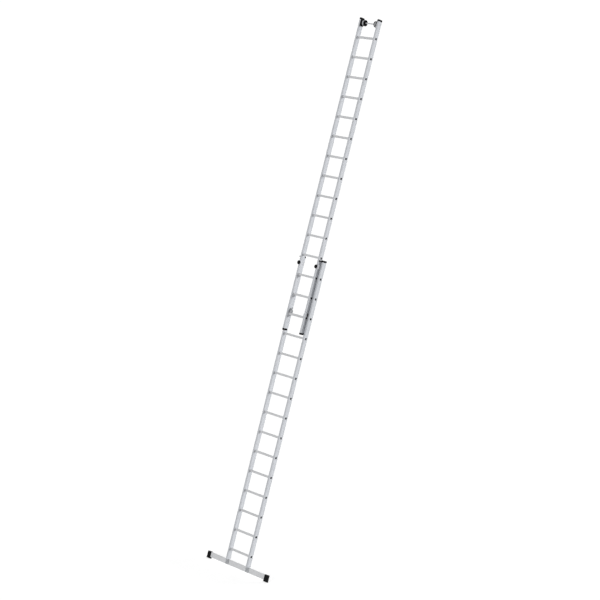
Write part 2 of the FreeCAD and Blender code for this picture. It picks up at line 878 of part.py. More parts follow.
def make_bolts():
    """Hexagon bolts through the plates and the bar, each with its own nut behind."""
    bolts = new_piece("bolts", "base")
    nuts = new_piece("nuts", "base")
    seat = "{bar_front} - {bar_bracket_plate}"

    def hexagons(sketch):
        for x, z in BOLTS:
            draw_hexagon(sketch, x, z, "{bolt_head_across}")

    def shanks(sketch):
        for x, z in BOLTS:
            draw_circle(sketch, x, z, "{bolt_radius}")

    def nut_rings(sketch):
        hexagons(sketch)
        shanks(sketch)

    slab(bolts, "heads", "y", seat + " - {bolt_head}", seat, hexagons)
    slab(bolts, "shanks", "y", seat, "{bar_back} + {nut_height} + {bolt_tail}", shanks)
    slab(nuts, "rings", "y", "{bar_back}", "{bar_back} + {nut_height}", nut_rings)
    group = doc.addObject("Part::Compound", "Bolts_and_nuts")
    group.Label = "bar_bolts"
    group.Links = [bolts, nuts]
    PIECES.remove(bolts)
    PIECES.remove(nuts)
    PIECES.append(group)


make_stabiliser_bar()
make_bar_brackets()
make_bolts()


# Feet: moulded shoes over the bar's ends, with arched rubber soles bonded under them.
def make_foot_shoes():
    body = new_piece("foot_shoes", "base")
    end = "{bar_tip} + {shoe_end_wall}"

    def block(sketch):
        draw_rounded(
            sketch,
            "{bar_behind} - {shoe_depth} / 2",
            "{bar_behind} + {shoe_depth} / 2",
            "{shoe_bottom}",
            "{bar_top} + {shoe_above}",
            "{shoe_round}",
        )

    slab(body, "block", "x", end + " - {shoe_length}", end, block)
    round_edges(body, "toe", "{shoe_round} / 2", edge_at(x=end))
    mouth = end + " - {shoe_length} - {overrun}"
    slab(body, "bar_socket", "x", mouth, "{bar_tip}", bar_outline, cut=True)
    add_left_copy(body)


def draw_sole(sketch):
    """Flat top, upright sides and an arched underside about an axis along the bar."""
    left = "{bar_behind} - {shoe_depth} / 2 - {sole_overhang}"
    right = "{bar_behind} + {shoe_depth} / 2 + {sole_overhang}"
    top = "{shoe_bottom}"
    centre = "{sole_bottom} + {sole_radius}"
    x0, x1, y1, middle, yc, radius = (
        value(text) for text in (left, right, top, "{bar_behind}", centre, "{sole_radius}")
    )
    half_angle = math.asin((x1 - middle) / radius)
    y0 = yc - radius * math.cos(half_angle)
    circle = Part.Circle(FreeCAD.Vector(middle, yc, 0), FreeCAD.Vector(0, 0, 1), radius)
    down = -math.pi / 2
    sketch.addGeometry([
        Part.LineSegment(FreeCAD.Vector(x1, y1, 0), FreeCAD.Vector(x0, y1, 0)),
        Part.LineSegment(FreeCAD.Vector(x0, y1, 0), FreeCAD.Vector(x0, y0, 0)),
        Part.ArcOfCircle(circle, down - half_angle, down + half_angle),
        Part.LineSegment(FreeCAD.Vector(x1, y0, 0), FreeCAD.Vector(x1, y1, 0)),
    ])
    rules = [
        ("Coincident", 0, 2, 1, 1),
        ("Coincident", 1, 2, 2, 1),
        ("Coincident", 2, 2, 3, 1),
        ("Coincident", 3, 2, 0, 1),
    ]
    sizes = [
        at(0, 1, "x", right),
        at(0, 1, "y", top),
        at(0, 2, "x", left),
        at(0, 2, "y", top),
        at(1, 2, "x", left),
        at(2, 3, "x", "{bar_behind}"),
        at(2, 3, "y", centre),
        (("Radius", 2), "{sole_radius}"),
        at(3, 1, "x", right),
    ]
    constrain(sketch, rules, sizes)


def make_foot_soles():
    body = new_piece("foot_soles", "base")
    low = "{bar_tip} + {shoe_end_wall} - {shoe_length} - {sole_overhang}"
    high = "{bar_tip} + {shoe_end_wall} + {sole_overhang}"

    def grooves(sketch):
        for k in range(int(value("{sole_groove_count}"))):
            middle = f"{{bar_behind}} + {{sole_groove_spacing}} * ({k} - ({{sole_groove_count}} - 1) / 2)"
            draw_rectangle(
                sketch,
                middle + " - {sole_groove_width} / 2",
                middle + " + {sole_groove_width} / 2",
                "{sole_bottom} - {overrun}",
                "{sole_bottom} + {sole_groove_depth}",
            )

    slab(body, "pad", "x", low, high, draw_sole)
    slab(body, "grooves", "x", *past(low, high), grooves, cut=True)
    add_left_copy(body)


make_foot_shoes()
make_foot_soles()


# Wall rollers: two spools on one axle between the tops of the fly stiles. Each has a tyre next to the
# stile and a wide rim at its inner end.
def on_axle(radius):
    return disc("{roller_behind}", "{roller_axis}", radius)


def make_roller_axle():
    body = new_piece("roller_axle", "fly")
    stop = "{roller_inner_end} - {roller_play}"
    stop_low = stop + " - {axle_collar}"
    end = "{fly_outer} + {axle_flange}"
    slab(body, "tube", "x", "0 - {fly_outer}", "{fly_outer}", on_axle("{axle_radius}"))
    flange = slab(body, "end_flange", "x", "{fly_outer}", end, on_axle("{axle_flange_radius}"))
    collar = slab(body, "roller_stop", "x", stop_low, stop, on_axle("{axle_collar_radius}"))
    mirror(body, "left_end", [flange, collar])
    slab(body, "bore", "x", *past(f"0 - ({end})", end), on_axle("{axle_bore_radius}"), cut=True)


def make_wall_roller(side_name, side):
    hub = new_piece("wall_roller_" + side_name, "fly")
    tyres = new_piece("roller_tyres_" + side_name, "fly")
    bore = "{axle_radius} + {running_clearance}"
    inner, outer = "{roller_inner_end}", "{roller_outer_end}"

    def ring(hole, radius):
        def draw(sketch):
            draw_circle(sketch, "{roller_behind}", "{roller_axis}", hole)
            draw_circle(sketch, "{roller_behind}", "{roller_axis}", radius)

        return draw

    low, high = side_span(side, inner + " + {roller_rim}", outer)
    slab(hub, "core", "x", low, high, ring(bore, "{roller_hub_radius}"))
    low, high = side_span(side, outer + " - {roller_tyre}", outer)
    slab(tyres, "tyre", "x", low, high, ring("{roller_hub_radius}", "{roller_radius}"))
    low, high = side_span(side, inner, inner + " + {roller_rim}")
    slab(tyres, "rim", "x", low, high, ring(bore, "{roller_radius}"))
    radius = value("{roller_radius}")
    round_edges(
        tyres,
        "shoulders",
        "{tyre_round}",
        lambda edge: isinstance(edge.Curve, Part.Circle) and abs(edge.Curve.Radius - radius) < TOLERANCE,
    )


make_roller_axle()
for side_name, side in SIDES:
    make_wall_roller(side_name, side)


# Drop hooks: on the fly's lowest rung, next to each stile, a channel bracket carries a hook on a pin.
# The hooks are raised; swung down by the whole lift they sit over a base rung.
def make_hook_bracket(side_name, side):
    body = new_piece("hook_bracket_" + side_name, "fly")
    low, high = side_span(side, "{hook_inner}", "{fly_inner}")
    cheek = "{hook_cheek}"
    reach = "{collar_size} / 2 + {collar_fit}"
    inner, outer = side_x(side, "{hook_inner}"), side_x(side, "{fly_inner}")
    inner_face = side_x(side, "{hook_inner} + " + cheek)
    outer_face = side_x(side, "{fly_inner} - " + cheek)
    wall_back = "{hook_front} + " + cheek

    def channel(sketch):
        draw_polygon(sketch, [
            (inner, "{hook_back}"),
            (inner, "{hook_front}"),
            (outer, "{hook_front}"),
            (outer, "{hook_back}"),
            (outer_face, "{hook_back}"),
            (outer_face, wall_back),
            (inner_face, wall_back),
            (inner_face, "{hook_back}"),
        ])

    def floor(sketch):
        draw_rectangle(sketch, low, high, "{hook_front}", "0 - {hook_front}")

    def collar_notch(sketch):
        draw_rectangle(sketch, "0 - " + reach, reach, "{rung_top} - {overrun}", reach)

    def rivet_holes(sketch):
        for y, z in HOOK_RIVETS:
            draw_circle(sketch, y, z, "{rivet_radius}")

    slab(body, "channel", "z", "{rung_top}", "{hook_high}", channel)
    rear = any_of(
        edge_at(y="{hook_back}", z="{hook_high}"),
        edge_at(y="{hook_back}", z="{rung_top}"),
    )
    round_edges(body, "cheek_corners", "{hook_bracket_round}", rear)
    round_edges(body, "bends", "{hook_bracket_bend}", edge_at(x=inner, y="{hook_front}"))
    slab(body, "floor", "z", "{rung_top}", "{rung_top} + {hook_floor}", floor)
    notch = side_span(side, "{fly_inner} - {collar_thick} - {collar_fit}", "{fly_inner} + {overrun}")
    slab(body, "collar_notch", "x", *notch, collar_notch, cut=True)
    rivet_wall = side_span(side, *past("{fly_inner} - " + cheek, "{fly_inner}"))
    slab(body, "rivet_holes", "x", *rivet_wall, rivet_holes, cut=True)
    pin_hole = disc("{hook_pivot_behind}", "{hook_pivot_height}", "{hook_pin_radius}")
    slab(body, "pin_hole", "x", *past(low, high), pin_hole, cut=True)


def make_hook_pins():
    body = new_piece("hook_pins", "fly")
    inner = "{hook_inner}"
    head = disc("{hook_pivot_behind}", "{hook_pivot_height}", "{hook_pin_head_radius}")
    shank = disc("{hook_pivot_behind}", "{hook_pivot_height}", "{hook_pin_radius}")
    slab(body, "heads", "x", inner + " - {hook_pin_head}", inner, head)
    slab(body, "shanks", "x", inner, "{fly_inner}", shank)
    add_left_copy(body)


def make_drop_hook(side_name, side):
    """Hook drawn about its pin, lying over a base rung, and placed raised by its whole lift."""
    body = new_piece(
        "drop_hook_" + side_name,
        "fly",
        behind="{hook_pivot_behind}",
        along="{hook_pivot_height}",
        lift="{hook_lift}",
    )
    # The base rung's faces, seen from the pin.
    rung_rear = "{fly_ahead} + {rung_size} / 2 - {hook_pivot_behind}"
    claw_front = rung_rear + " + {hook_play}"
    claw_back = claw_front + " + {hook_claw}"
    seat = "{rung_top} + {hook_seat_gap} - {hook_pivot_height}"
    crest = seat + " + {hook_arm}"
    tip = seat + " - {hook_claw_drop}"
    taper = "{hook_claw_taper}"

    def arm(sketch):
        draw_polygon(sketch, [
            ("0", "{hook_boss_radius}"),
            ("0", "0 - {hook_boss_radius}"),
            ("{hook_seat_start}", seat),
            (claw_front, seat),
            (claw_front, f"{tip} + 2 * {taper}"),
            (f"{claw_front} + {taper}", tip),
            (claw_back, tip),
            (claw_back, crest),
        ])

    middle = "({hook_inner} + {fly_inner}) / 2"
    low, high = side_span(side, middle + " - {hook_width} / 2", middle + " + {hook_width} / 2")
    slab(body, "arm", "x", low, high, arm)
    round_edges(body, "bend", "{hook_bend}", edge_at(y=claw_back, z=crest))
    low, high = side_span(
        side, "{hook_inner} + {hook_cheek} + {hook_play}", "{fly_inner} - {hook_cheek} - {hook_play}"
    )
    slab(body, "boss", "x", low, high, disc("0", "0", "{hook_boss_radius}"))
    bore = disc("0", "0", "{hook_pin_radius} + {running_clearance}")
    slab(body, "pin_bore", "x", *past(low, high), bore, cut=True)


for side_name, side in SIDES:
    make_hook_bracket(side_name, side)
    make_drop_hook(side_name, side)
make_hook_pins()
make_rivets("hook_rivets", "fly", "{fly_inner} - {hook_cheek}", HOOK_RIVETS)


# Side glides: plastic blocks on the fly stiles' outer faces, running along the base stiles.
def make_side_glides():
    body = new_piece("side_glides", "fly")
    face = "{fly_outer} + {side_glide_thick}"

    def block(sketch):
        draw_rounded(
            sketch,
            "{side_glide_behind}",
            "{side_glide_behind} + {side_glide_depth}",
            "{side_glide_lift}",
            "{side_glide_lift} + {side_glide_height}",
            "{side_glide_corner}",
        )

    slab(body, "block", "x", "{fly_outer}", face, block)
    round_edges(body, "running_edge", "{side_glide_round}", edge_at(x=face))
    add_left_copy(body)


make_side_glides()


def check_model():
    """Stop before anything is written if a step failed or a sub-part is not a sound solid."""
    for item in doc.Objects:
        if "Invalid" in item.State or "Error" in item.State:
            raise RuntimeError(item.Label + " failed")
    for body, before, feature in CUTS:
        if not feature.Shape.Volume < before.Shape.Volume - TOLERANCE:
            raise RuntimeError(f"{feature.Label} cuts nothing from {body.Label}")
    for piece in PIECES:
        shape = piece.Shape
        if shape.isNull() or not shape.isValid() or not shape.Solids:
            raise RuntimeError(piece.Label + " is not a valid solid")


doc.recompute()
check_model()
os.makedirs("parts", exist_ok=True)
for piece in PIECES:
    piece.Shape.exportStep(f"parts/{piece.Label}.step")
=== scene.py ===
import json
import math

import bmesh
import bpy
from mathutils import Matrix, Vector


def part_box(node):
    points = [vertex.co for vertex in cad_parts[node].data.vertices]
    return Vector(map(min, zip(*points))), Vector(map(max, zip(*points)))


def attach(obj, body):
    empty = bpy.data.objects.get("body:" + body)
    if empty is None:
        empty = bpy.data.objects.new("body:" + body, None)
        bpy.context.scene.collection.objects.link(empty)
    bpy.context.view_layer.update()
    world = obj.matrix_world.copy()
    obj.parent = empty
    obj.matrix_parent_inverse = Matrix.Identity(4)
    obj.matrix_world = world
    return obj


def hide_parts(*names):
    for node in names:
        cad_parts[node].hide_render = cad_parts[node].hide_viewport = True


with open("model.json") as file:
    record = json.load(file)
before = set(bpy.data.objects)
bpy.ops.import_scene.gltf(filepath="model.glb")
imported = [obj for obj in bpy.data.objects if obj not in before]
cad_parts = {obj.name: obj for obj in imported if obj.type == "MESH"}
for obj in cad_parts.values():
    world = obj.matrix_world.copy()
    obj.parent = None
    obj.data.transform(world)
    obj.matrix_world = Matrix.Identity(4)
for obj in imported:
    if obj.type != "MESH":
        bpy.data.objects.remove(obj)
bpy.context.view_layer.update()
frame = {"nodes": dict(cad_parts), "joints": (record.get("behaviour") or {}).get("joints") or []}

nodes = frame["nodes"]
scene = bpy.context.scene
scene.view_settings.view_transform = "Standard"

# Camera: a long lens far off to the climber's right, a little above the middle of the ladder, so
# that the whole ladder fits from the feet to the wall rollers and its stiles stay nearly parallel.
camera_place = (15.8262, -15.1766, 10.0029)
camera_turn = (74.358, -0.265, 44.072)
camera_lens = 103.46
camera_reach = 400

camera_data = bpy.data.cameras.new("camera")
camera_data.lens = camera_lens
camera_data.clip_end = camera_reach
camera = bpy.data.objects.new("camera", camera_data)
camera.location = camera_place
camera.rotation_euler = [math.radians(angle) for angle in camera_turn]
scene.collection.objects.link(camera)
scene.camera = camera


# Studio: a white floor that keeps the ladder's shadow, a white surround and three soft lamps. The
# key lamp stands low behind the climber's right, so each rung shades the stile level with itself.
# The others light the fronts and the left side. Metal mirrors the surround alone, not the lamps.
floor_reach = 150
floor_colour = "#c4c4c4"
floor_glow = 0.73
surround_light = 0.3


def linear(hex_colour):
    """Linear RGBA of an sRGB hex colour."""
    channels = [int(hex_colour[k:k + 2], 16) / 255 for k in (1, 3, 5)]
    return [c / 12.92 if c <= 0.04045 else ((c + 0.055) / 1.055) ** 2.4 for c in channels] + [1.0]


def node(tree, kind, settings=None, **inputs):
    """Add a node with its settings; an input is a value or a socket, and i4 is the fifth input."""
    made = tree.nodes.new(kind)
    for name, value in (settings or {}).items():
        setattr(made, name, value)
    for name, value in inputs.items():
        key = int(name[1:]) if name[1:].isdigit() else name.replace("_", " ")
        if isinstance(value, bpy.types.NodeSocket):
            tree.links.new(value, made.inputs[key])
        else:
            made.inputs[key].default_value = value
    return made


def new_material(name):
    """Material with an empty node tree."""
    material = bpy.data.materials.new(name)
    material.use_nodes = True
    material.node_tree.nodes.clear()
    return material, material.node_tree


def looked_at(tree):
    """Socket that is 1 where the camera, metal or glass sees a surface, and 0 for its light."""
    rays = node(tree, "ShaderNodeLightPath").outputs
    seen = rays["Is Camera Ray"]
    for kind in ("Is Glossy Ray", "Is Transmission Ray"):
        seen = node(tree, "ShaderNodeMath", {"operation": "MAXIMUM"}, i0=seen, i1=rays[kind])
        seen = seen.outputs[0]
    return seen


def add_sun(name, strength, spread, towards):
    """Lamp that no metal mirrors, with its light's way and its spread in degrees."""
    lamp = bpy.data.lights.new(name, "SUN")
    lamp.energy = strength
    lamp.angle = math.radians(spread)
    holder = bpy.data.objects.new(name, lamp)
    holder.rotation_euler = Vector(towards).to_track_quat("-Z", "Y").to_euler()
    holder.visible_glossy = False
    scene.collection.objects.link(holder)


white = linear("#ffffff")
world = bpy.data.worlds.new("studio")
scene.world = world
world.use_nodes = True
tree = world.node_tree
tree.nodes.clear()
fill = node(tree, "ShaderNodeBackground", Color=white, Strength=surround_light)
backdrop = node(tree, "ShaderNodeBackground", Color=white, Strength=1.0)
surround = node(tree, "ShaderNodeMixShader", Fac=looked_at(tree), i1=fill.outputs[0],
                i2=backdrop.outputs[0])
node(tree, "ShaderNodeOutputWorld", Surface=surround.outputs[0])

floor_corners = [(x * floor_reach, y * floor_reach, 0)
                 for x, y in ((-1, -1), (1, -1), (1, 1), (-1, 1))]
floor_mesh = bpy.data.meshes.new("floor")
floor_mesh.from_pydata(floor_corners, [], [(0, 1, 2, 3)])
floor = bpy.data.objects.new("floor", floor_mesh)
scene.collection.objects.link(floor)

# Matt white paint: it takes the shadow, and a glow that lights nothing makes the rest white.
material, tree = new_material("white_floor")
paint = node(tree, "ShaderNodeBsdfDiffuse", Color=linear(floor_colour))
lift = node(tree, "ShaderNodeMath", {"operation": "MULTIPLY"}, i0=looked_at(tree), i1=floor_glow)
glow = node(tree, "ShaderNodeEmission", Color=white, Strength=lift.outputs[0])
both = node(tree, "ShaderNodeAddShader", i0=paint.outputs[0], i1=glow.outputs[0])
node(tree, "ShaderNodeOutputMaterial", Surface=both.outputs[0])
floor_mesh.materials.append(material)

add_sun("key", strength=3.6, spread=10, towards=(-0.62, -0.8, -0.08))
add_sun("front_fill", strength=1.2, spread=25, towards=(0, 0.94, -0.34))
add_sun("left_fill", strength=0.9, spread=25, towards=(0.8, -0.5, -0.15))


# Stiles: four hollow box extrusions of bare aluminium, with shallow grooves that the die leaves
# along every side. A row of square holes is punched through both side walls, one for each rung.
stile_corner = 0.003
stile_side_wall = 0.0018
stile_face_wall = 0.0026
stile_flute_width = 0.0024
stile_flute_depth = 0.0005
stile_side_flutes = (-0.029, -0.024, 0.024, 0.029)
stile_face_flutes = (-0.0055, 0, 0.0055)
stile_streak = (0.006, 0.006, 1.2)
stain_size = 0.11
rung_size = 0.030
rung_count = 15
corner_steps = 5
sharp_corner = math.radians(35)

# A cutter is longer than what it cuts by cut_past, and points nearer than same_point are one.
cut_past = 0.01
same_point = 1e-6

# A groove's section, as places across its width and shares of its depth.
groove_section = ((-0.5, 0), (-0.3, 1), (0.3, 1), (0.5, 0))

across = Vector((1, 0, 0))
climb = Vector(next(joint["axis"] for joint in frame["joints"] if joint["name"] == "fly_slide"))
leaned = Matrix((across, climb.cross(across), climb)).transposed().to_4x4()


def middle(name):
    """Middle of a CAD node's box."""
    low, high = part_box(name)
    return (low + high) / 2


# A section's own frame stands in its lowest rung: x across, y through the ladder, z up the stiles.
place = {section: Matrix.Translation(middle(section + "_rung_01")) @ leaned
         for section in ("base", "fly")}
rung_pitch = (middle("base_rung_02") - middle("base_rung_01")).length


def extent(name, section, side=0):
    """Low and high corner of a CAD node in its section's frame; side 1 or -1 keeps that half."""
    inverse = place[section].inverted()
    points = [inverse @ vertex.co for vertex in nodes[name].data.vertices]
    points = [point for point in points if point.x * side >= 0]
    low = Vector([min(point[k] for point in points) for k in range(3)])
    high = Vector([max(point[k] for point in points) for k in range(3)])
    return low, high


def fluted(width, depth, corner, flutes, flute_width, flute_depth):
    """Anticlockwise outline of a rounded rectangle; flutes holds the places of the grooves on
    each of its four sides, which face +x, +y, -x and -y."""
    points = []
    for quarter in range(4):
        facing = math.pi / 2 * quarter
        out = Vector((round(math.cos(facing)), round(math.sin(facing))))
        along = Vector((-out.y, out.x))
        reach, half = (width / 2, depth / 2) if quarter % 2 == 0 else (depth / 2, width / 2)
        for centre in flutes[quarter]:
            for step, share in groove_section:
                points.append(out * (reach - flute_depth * share)
                              + along * (centre + flute_width * step))
        for k in range(corner_steps + 1):
            turn = math.pi / 2 * k / corner_steps
            bend = out * math.cos(turn) + along * math.sin(turn)
            points.append(out * (reach - corner) + along * (half - corner) + bend * corner)
    return points


def new_tree(name, inputs):
    """Geometry node tree with named inputs; returns the tree and its two end nodes."""
    tree = bpy.data.node_groups.new(name, "GeometryNodeTree")
    tree.interface.new_socket("Geometry", in_out="INPUT", socket_type="NodeSocketGeometry")
    for label, kind in inputs:
        tree.interface.new_socket(label, in_out="INPUT", socket_type="NodeSocket" + kind)
    tree.interface.new_socket("Geometry", in_out="OUTPUT", socket_type="NodeSocketGeometry")
    return tree, tree.nodes.new("NodeGroupInput"), tree.nodes.new("NodeGroupOutput")


def grow(tree, mesh, inputs):
    """Plain mesh that a tree makes from a starting mesh with its named inputs set."""
    holder = bpy.data.objects.new("holder", mesh)
    scene.collection.objects.link(holder)
    modifier = holder.modifiers.new("grow", "NODES")
    modifier.node_group = tree
    for item in tree.interface.items_tree:
        if item.in_out == "INPUT" and item.name in inputs:
            modifier[item.identifier] = inputs[item.name]
    evaluated = holder.evaluated_get(bpy.context.evaluated_depsgraph_get())
    made = bpy.data.meshes.new_from_object(evaluated)
    bpy.data.objects.remove(holder)
    return made


def add_piece(name, mesh, matrix, material):
    """Object at the origin with its place in its mesh, smooth but for its sharp corners."""
    mesh.transform(matrix)
    mesh.materials.clear()
    mesh.materials.append(material)
    mesh.shade_smooth()
    mesh.set_sharp_from_angle(angle=sharp_corner)
    piece = bpy.data.objects.new(name, mesh)
    scene.collection.objects.link(piece)
    return piece


def to_mesh(bm, name):
    """Mesh of a closed bmesh with its doubles merged and its faces outwards."""
    bmesh.ops.remove_doubles(bm, verts=bm.verts, dist=same_point)
    bmesh.ops.recalc_face_normals(bm, faces=bm.faces)
    mesh = bpy.data.meshes.new(name)
    bm.to_mesh(mesh)
    bm.free()
    return mesh


def punched_stile_tree():
    """Extrude an outline to a box section, bore it hollow and punch square holes through it."""
    tree, start, end = new_tree("punched_stile", [
        ("Length", "Float"), ("Bore", "Vector"), ("Punch", "Vector"), ("Bottom", "Float"),
        ("Pitch", "Float"), ("Holes", "Int"), ("Finish", "Material")])
    given = start.outputs
    up = node(tree, "ShaderNodeCombineXYZ", Z=given["Length"])
    extruded = node(tree, "GeometryNodeExtrudeMesh", {"mode": "FACES"}, Mesh=given["Geometry"],
                    Offset=up.outputs[0], Offset_Scale=1.0, Individual=False)
    foot = node(tree, "GeometryNodeFlipFaces", Mesh=given["Geometry"])
    closed = node(tree, "GeometryNodeJoinGeometry")
    tree.links.new(extruded.outputs["Mesh"], closed.inputs[0])
    tree.links.new(foot.outputs[0], closed.inputs[0])
    box = node(tree, "GeometryNodeMergeByDistance", Geometry=closed.outputs[0],
               Distance=same_point)
    half_up = node(tree, "ShaderNodeVectorMath", {"operation": "SCALE"}, i0=up.outputs[0],
                   Scale=0.5)
    bottom = node(tree, "ShaderNodeCombineXYZ", Z=given["Bottom"])
    centre = node(tree, "ShaderNodeVectorMath", {"operation": "ADD"}, i0=half_up.outputs[0],
                  i1=bottom.outputs[0])
    bore = node(tree, "GeometryNodeMeshCube", Size=given["Bore"])
    bore = node(tree, "GeometryNodeTransform", Geometry=bore.outputs["Mesh"],
                Translation=centre.outputs[0])
    step = node(tree, "ShaderNodeCombineXYZ", Z=given["Pitch"])
    row = node(tree, "GeometryNodeMeshLine", {"mode": "OFFSET"}, Count=given["Holes"],
               Offset=step.outputs[0])
    punch = node(tree, "GeometryNodeMeshCube", Size=given["Punch"])
    punches = node(tree, "GeometryNodeInstanceOnPoints", Points=row.outputs[0],
                   Instance=punch.outputs["Mesh"])
    punches = node(tree, "GeometryNodeRealizeInstances", Geometry=punches.outputs[0])
    cut = node(tree, "GeometryNodeMeshBoolean", {"operation": "DIFFERENCE", "solver": "EXACT"},
               i0=box.outputs[0])
    tree.links.new(bore.outputs[0], cut.inputs["Mesh 2"])
    tree.links.new(punches.outputs[0], cut.inputs["Mesh 2"])
    plain = node(tree, "GeometryNodeRealizeInstances", Geometry=cut.outputs["Mesh"])
    done = node(tree, "GeometryNodeSetMaterial", Geometry=plain.outputs[0],
                Material=given["Finish"])
    tree.links.new(done.outputs[0], end.inputs[0])
    return tree


def bare_aluminium(name, colour, shade, streak, roughness):
    """Mill-finish aluminium as it leaves the die: a satin metal with faint paler and darker
    streaks along its length. Streak gives one streak's size across, through and along the ladder.
    Real die lines are about half a millimetre wide, which no view of a whole ladder shows, so they
    are drawn several times wider."""
    material, tree = new_material(name)
    coords = node(tree, "ShaderNodeTexCoord").outputs["Object"]
    grain = node(tree, "ShaderNodeMapping", {"vector_type": "TEXTURE"}, Vector=coords,
                 Rotation=leaned.to_euler(), Scale=streak)
    lines = node(tree, "ShaderNodeTexNoise", Vector=grain.outputs[0], Scale=1.0, Detail=4.0,
                 Roughness=0.65)
    stain = node(tree, "ShaderNodeTexNoise", Vector=coords, Scale=1 / stain_size, Detail=2.0)
    both = node(tree, "ShaderNodeMath", {"operation": "MULTIPLY_ADD"}, i0=stain.outputs[0],
                i1=0.35, i2=lines.outputs[0])
    share = node(tree, "ShaderNodeMapRange", Value=both.outputs[0], From_Min=0.5, From_Max=0.85)
    tint = node(tree, "ShaderNodeMix", {"data_type": "RGBA"}, i0=share.outputs[0],
                i6=linear(shade), i7=linear(colour))
    dull = node(tree, "ShaderNodeMapRange", Value=lines.outputs[0], From_Min=0.3, From_Max=0.7,
                To_Min=roughness - 0.06, To_Max=roughness + 0.06)
    ridges = node(tree, "ShaderNodeBump", Height=lines.outputs[0], Strength=0.25, Distance=0.0003)
    metal = node(tree, "ShaderNodeBsdfPrincipled", Base_Color=tint.outputs[2], Metallic=0.25,
                 Roughness=dull.outputs[0], Normal=ridges.outputs[0])
    node(tree, "ShaderNodeOutputMaterial", Surface=metal.outputs[0])
    return material


# Straight from the die: satin and faintly cool, with long fine lines up the ladder.
stile_aluminium = bare_aluminium("mill_finish_stile_aluminium", colour="#d4d6da",
                                 shade="#c7cacf", streak=stile_streak, roughness=0.45)
stile_tree = punched_stile_tree()
for section in ("base", "fly"):
    for side_name in ("left", "right"):
        node_name = f"{section}_stile_{side_name}"
        low, high = extent(node_name, section)
        width, depth, length = high - low
        flutes = (stile_side_flutes, stile_face_flutes) * 2
        outline = fluted(width, depth, stile_corner, flutes, stile_flute_width, stile_flute_depth)
        bm = bmesh.new()
        bm.faces.new([bm.verts.new((point.x, point.y, low.z)) for point in outline])
        profile = bpy.data.meshes.new("stile_outline")
        bm.to_mesh(profile)
        bm.free()
        mesh = grow(stile_tree, profile, {
            "Length": length, "Bottom": low.z, "Pitch": rung_pitch, "Holes": rung_count,
            "Bore": (width - 2 * stile_side_wall, depth - 2 * stile_face_wall, length + cut_past),
            "Punch": (width + cut_past, rung_size, rung_size), "Finish": stile_aluminium})
        sideways = Matrix.Translation(((low.x + high.x) / 2, 0, 0))
        stile = add_piece(f"extruded_{node_name}", mesh, place[section] @ sideways,
                          stile_aluminium)
        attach(stile, section)
        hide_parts(node_name)


# Rungs: square aluminium tubes with tread grooves on top, pushed through both stiles. Each end is
# upset to a round bead inside the stile and rolled over to a flat flange outside it, which locks
# rung and stile together.
rung_corner = 0.004
rung_streak = (0.8, 0.003, 0.003)
tread_spacing = 0.0044
tread_count = 5
tread_width = 0.0016
tread_depth = 0.0005
bead_width = 0.0025
bead_height = 0.002
bead_steps = 8
flange_size = 0.033
flange_thick = 0.001
flange_corner = 0.005
flange_edge = 0.0006
edge_steps = 3
least_corner = 1e-5
to_x = Matrix.Rotation(math.pi / 2, 4, "Y")


def ring(width, depth, corner, height):
    """Rounded rectangle at a height, anticlockwise."""
    return [Vector((point.x, point.y, height))
            for point in fluted(width, depth, corner, ((),) * 4, 0, 0)]


def loft(bm, rings):
    """Closed skin through rings of equally many points, with flat ends."""
    loops = [[bm.verts.new(point) for point in points] for points in rings]
    for low, high in zip(loops, loops[1:]):
        for k in range(len(low)):
            bm.faces.new((low[k - 1], low[k], high[k], high[k - 1]))
    bm.faces.new(reversed(loops[0]))
    bm.faces.new(loops[-1])


def pillow(width, depth, corner, low, high, low_edge, high_edge):
    """Rings of an upright rounded block whose bottom and top edges are rounded too."""
    turns = [math.pi / 2 * k / edge_steps for k in range(edge_steps + 1)]
    levels = [(low_edge * (1 - math.sin(turn)), low + low_edge * (1 - math.cos(turn)))
              for turn in turns]
    levels += [(high_edge * (1 - math.cos(turn)), high - high_edge * (1 - math.sin(turn)))
               for turn in turns]
    return [ring(width - 2 * inset, depth - 2 * inset, max(corner - inset, least_corner), height)
            for inset, height in levels]


def repeat_tree():
    """Repeat a mesh in a row or in a ring, with a mirrored set on the other side if asked for."""
    tree, start, end = new_tree("repeat", [
        ("Count", "Int"), ("Step", "Vector"), ("Turn", "Vector"), ("Mirrored", "Bool"),
        ("Finish", "Material")])
    given = start.outputs
    row = node(tree, "GeometryNodeMeshLine", {"mode": "OFFSET"}, Count=given["Count"],
               Offset=given["Step"])
    index = node(tree, "GeometryNodeInputIndex")
    turn = node(tree, "ShaderNodeVectorMath", {"operation": "SCALE"}, i0=given["Turn"],
                Scale=index.outputs[0])
    copies = node(tree, "GeometryNodeInstanceOnPoints", Points=row.outputs[0],
                  Instance=given["Geometry"], Rotation=turn.outputs[0])
    plain = node(tree, "GeometryNodeRealizeInstances", Geometry=copies.outputs[0])
    twin = node(tree, "GeometryNodeTransform", Geometry=plain.outputs[0], Scale=(-1, 1, 1))
    twin = node(tree, "GeometryNodeFlipFaces", Mesh=twin.outputs[0])
    pair = node(tree, "GeometryNodeJoinGeometry")
    tree.links.new(plain.outputs[0], pair.inputs[0])
    tree.links.new(twin.outputs[0], pair.inputs[0])
    chosen = node(tree, "GeometryNodeSwitch", {"input_type": "GEOMETRY"}, Switch=given["Mirrored"],
                  i1=plain.outputs[0], i2=pair.outputs[0])
    plain = node(tree, "GeometryNodeRealizeInstances", Geometry=chosen.outputs[0])
    done = node(tree, "GeometryNodeSetMaterial", Geometry=plain.outputs[0],
                Material=given["Finish"])
    tree.links.new(done.outputs[0], end.inputs[0])
    return tree


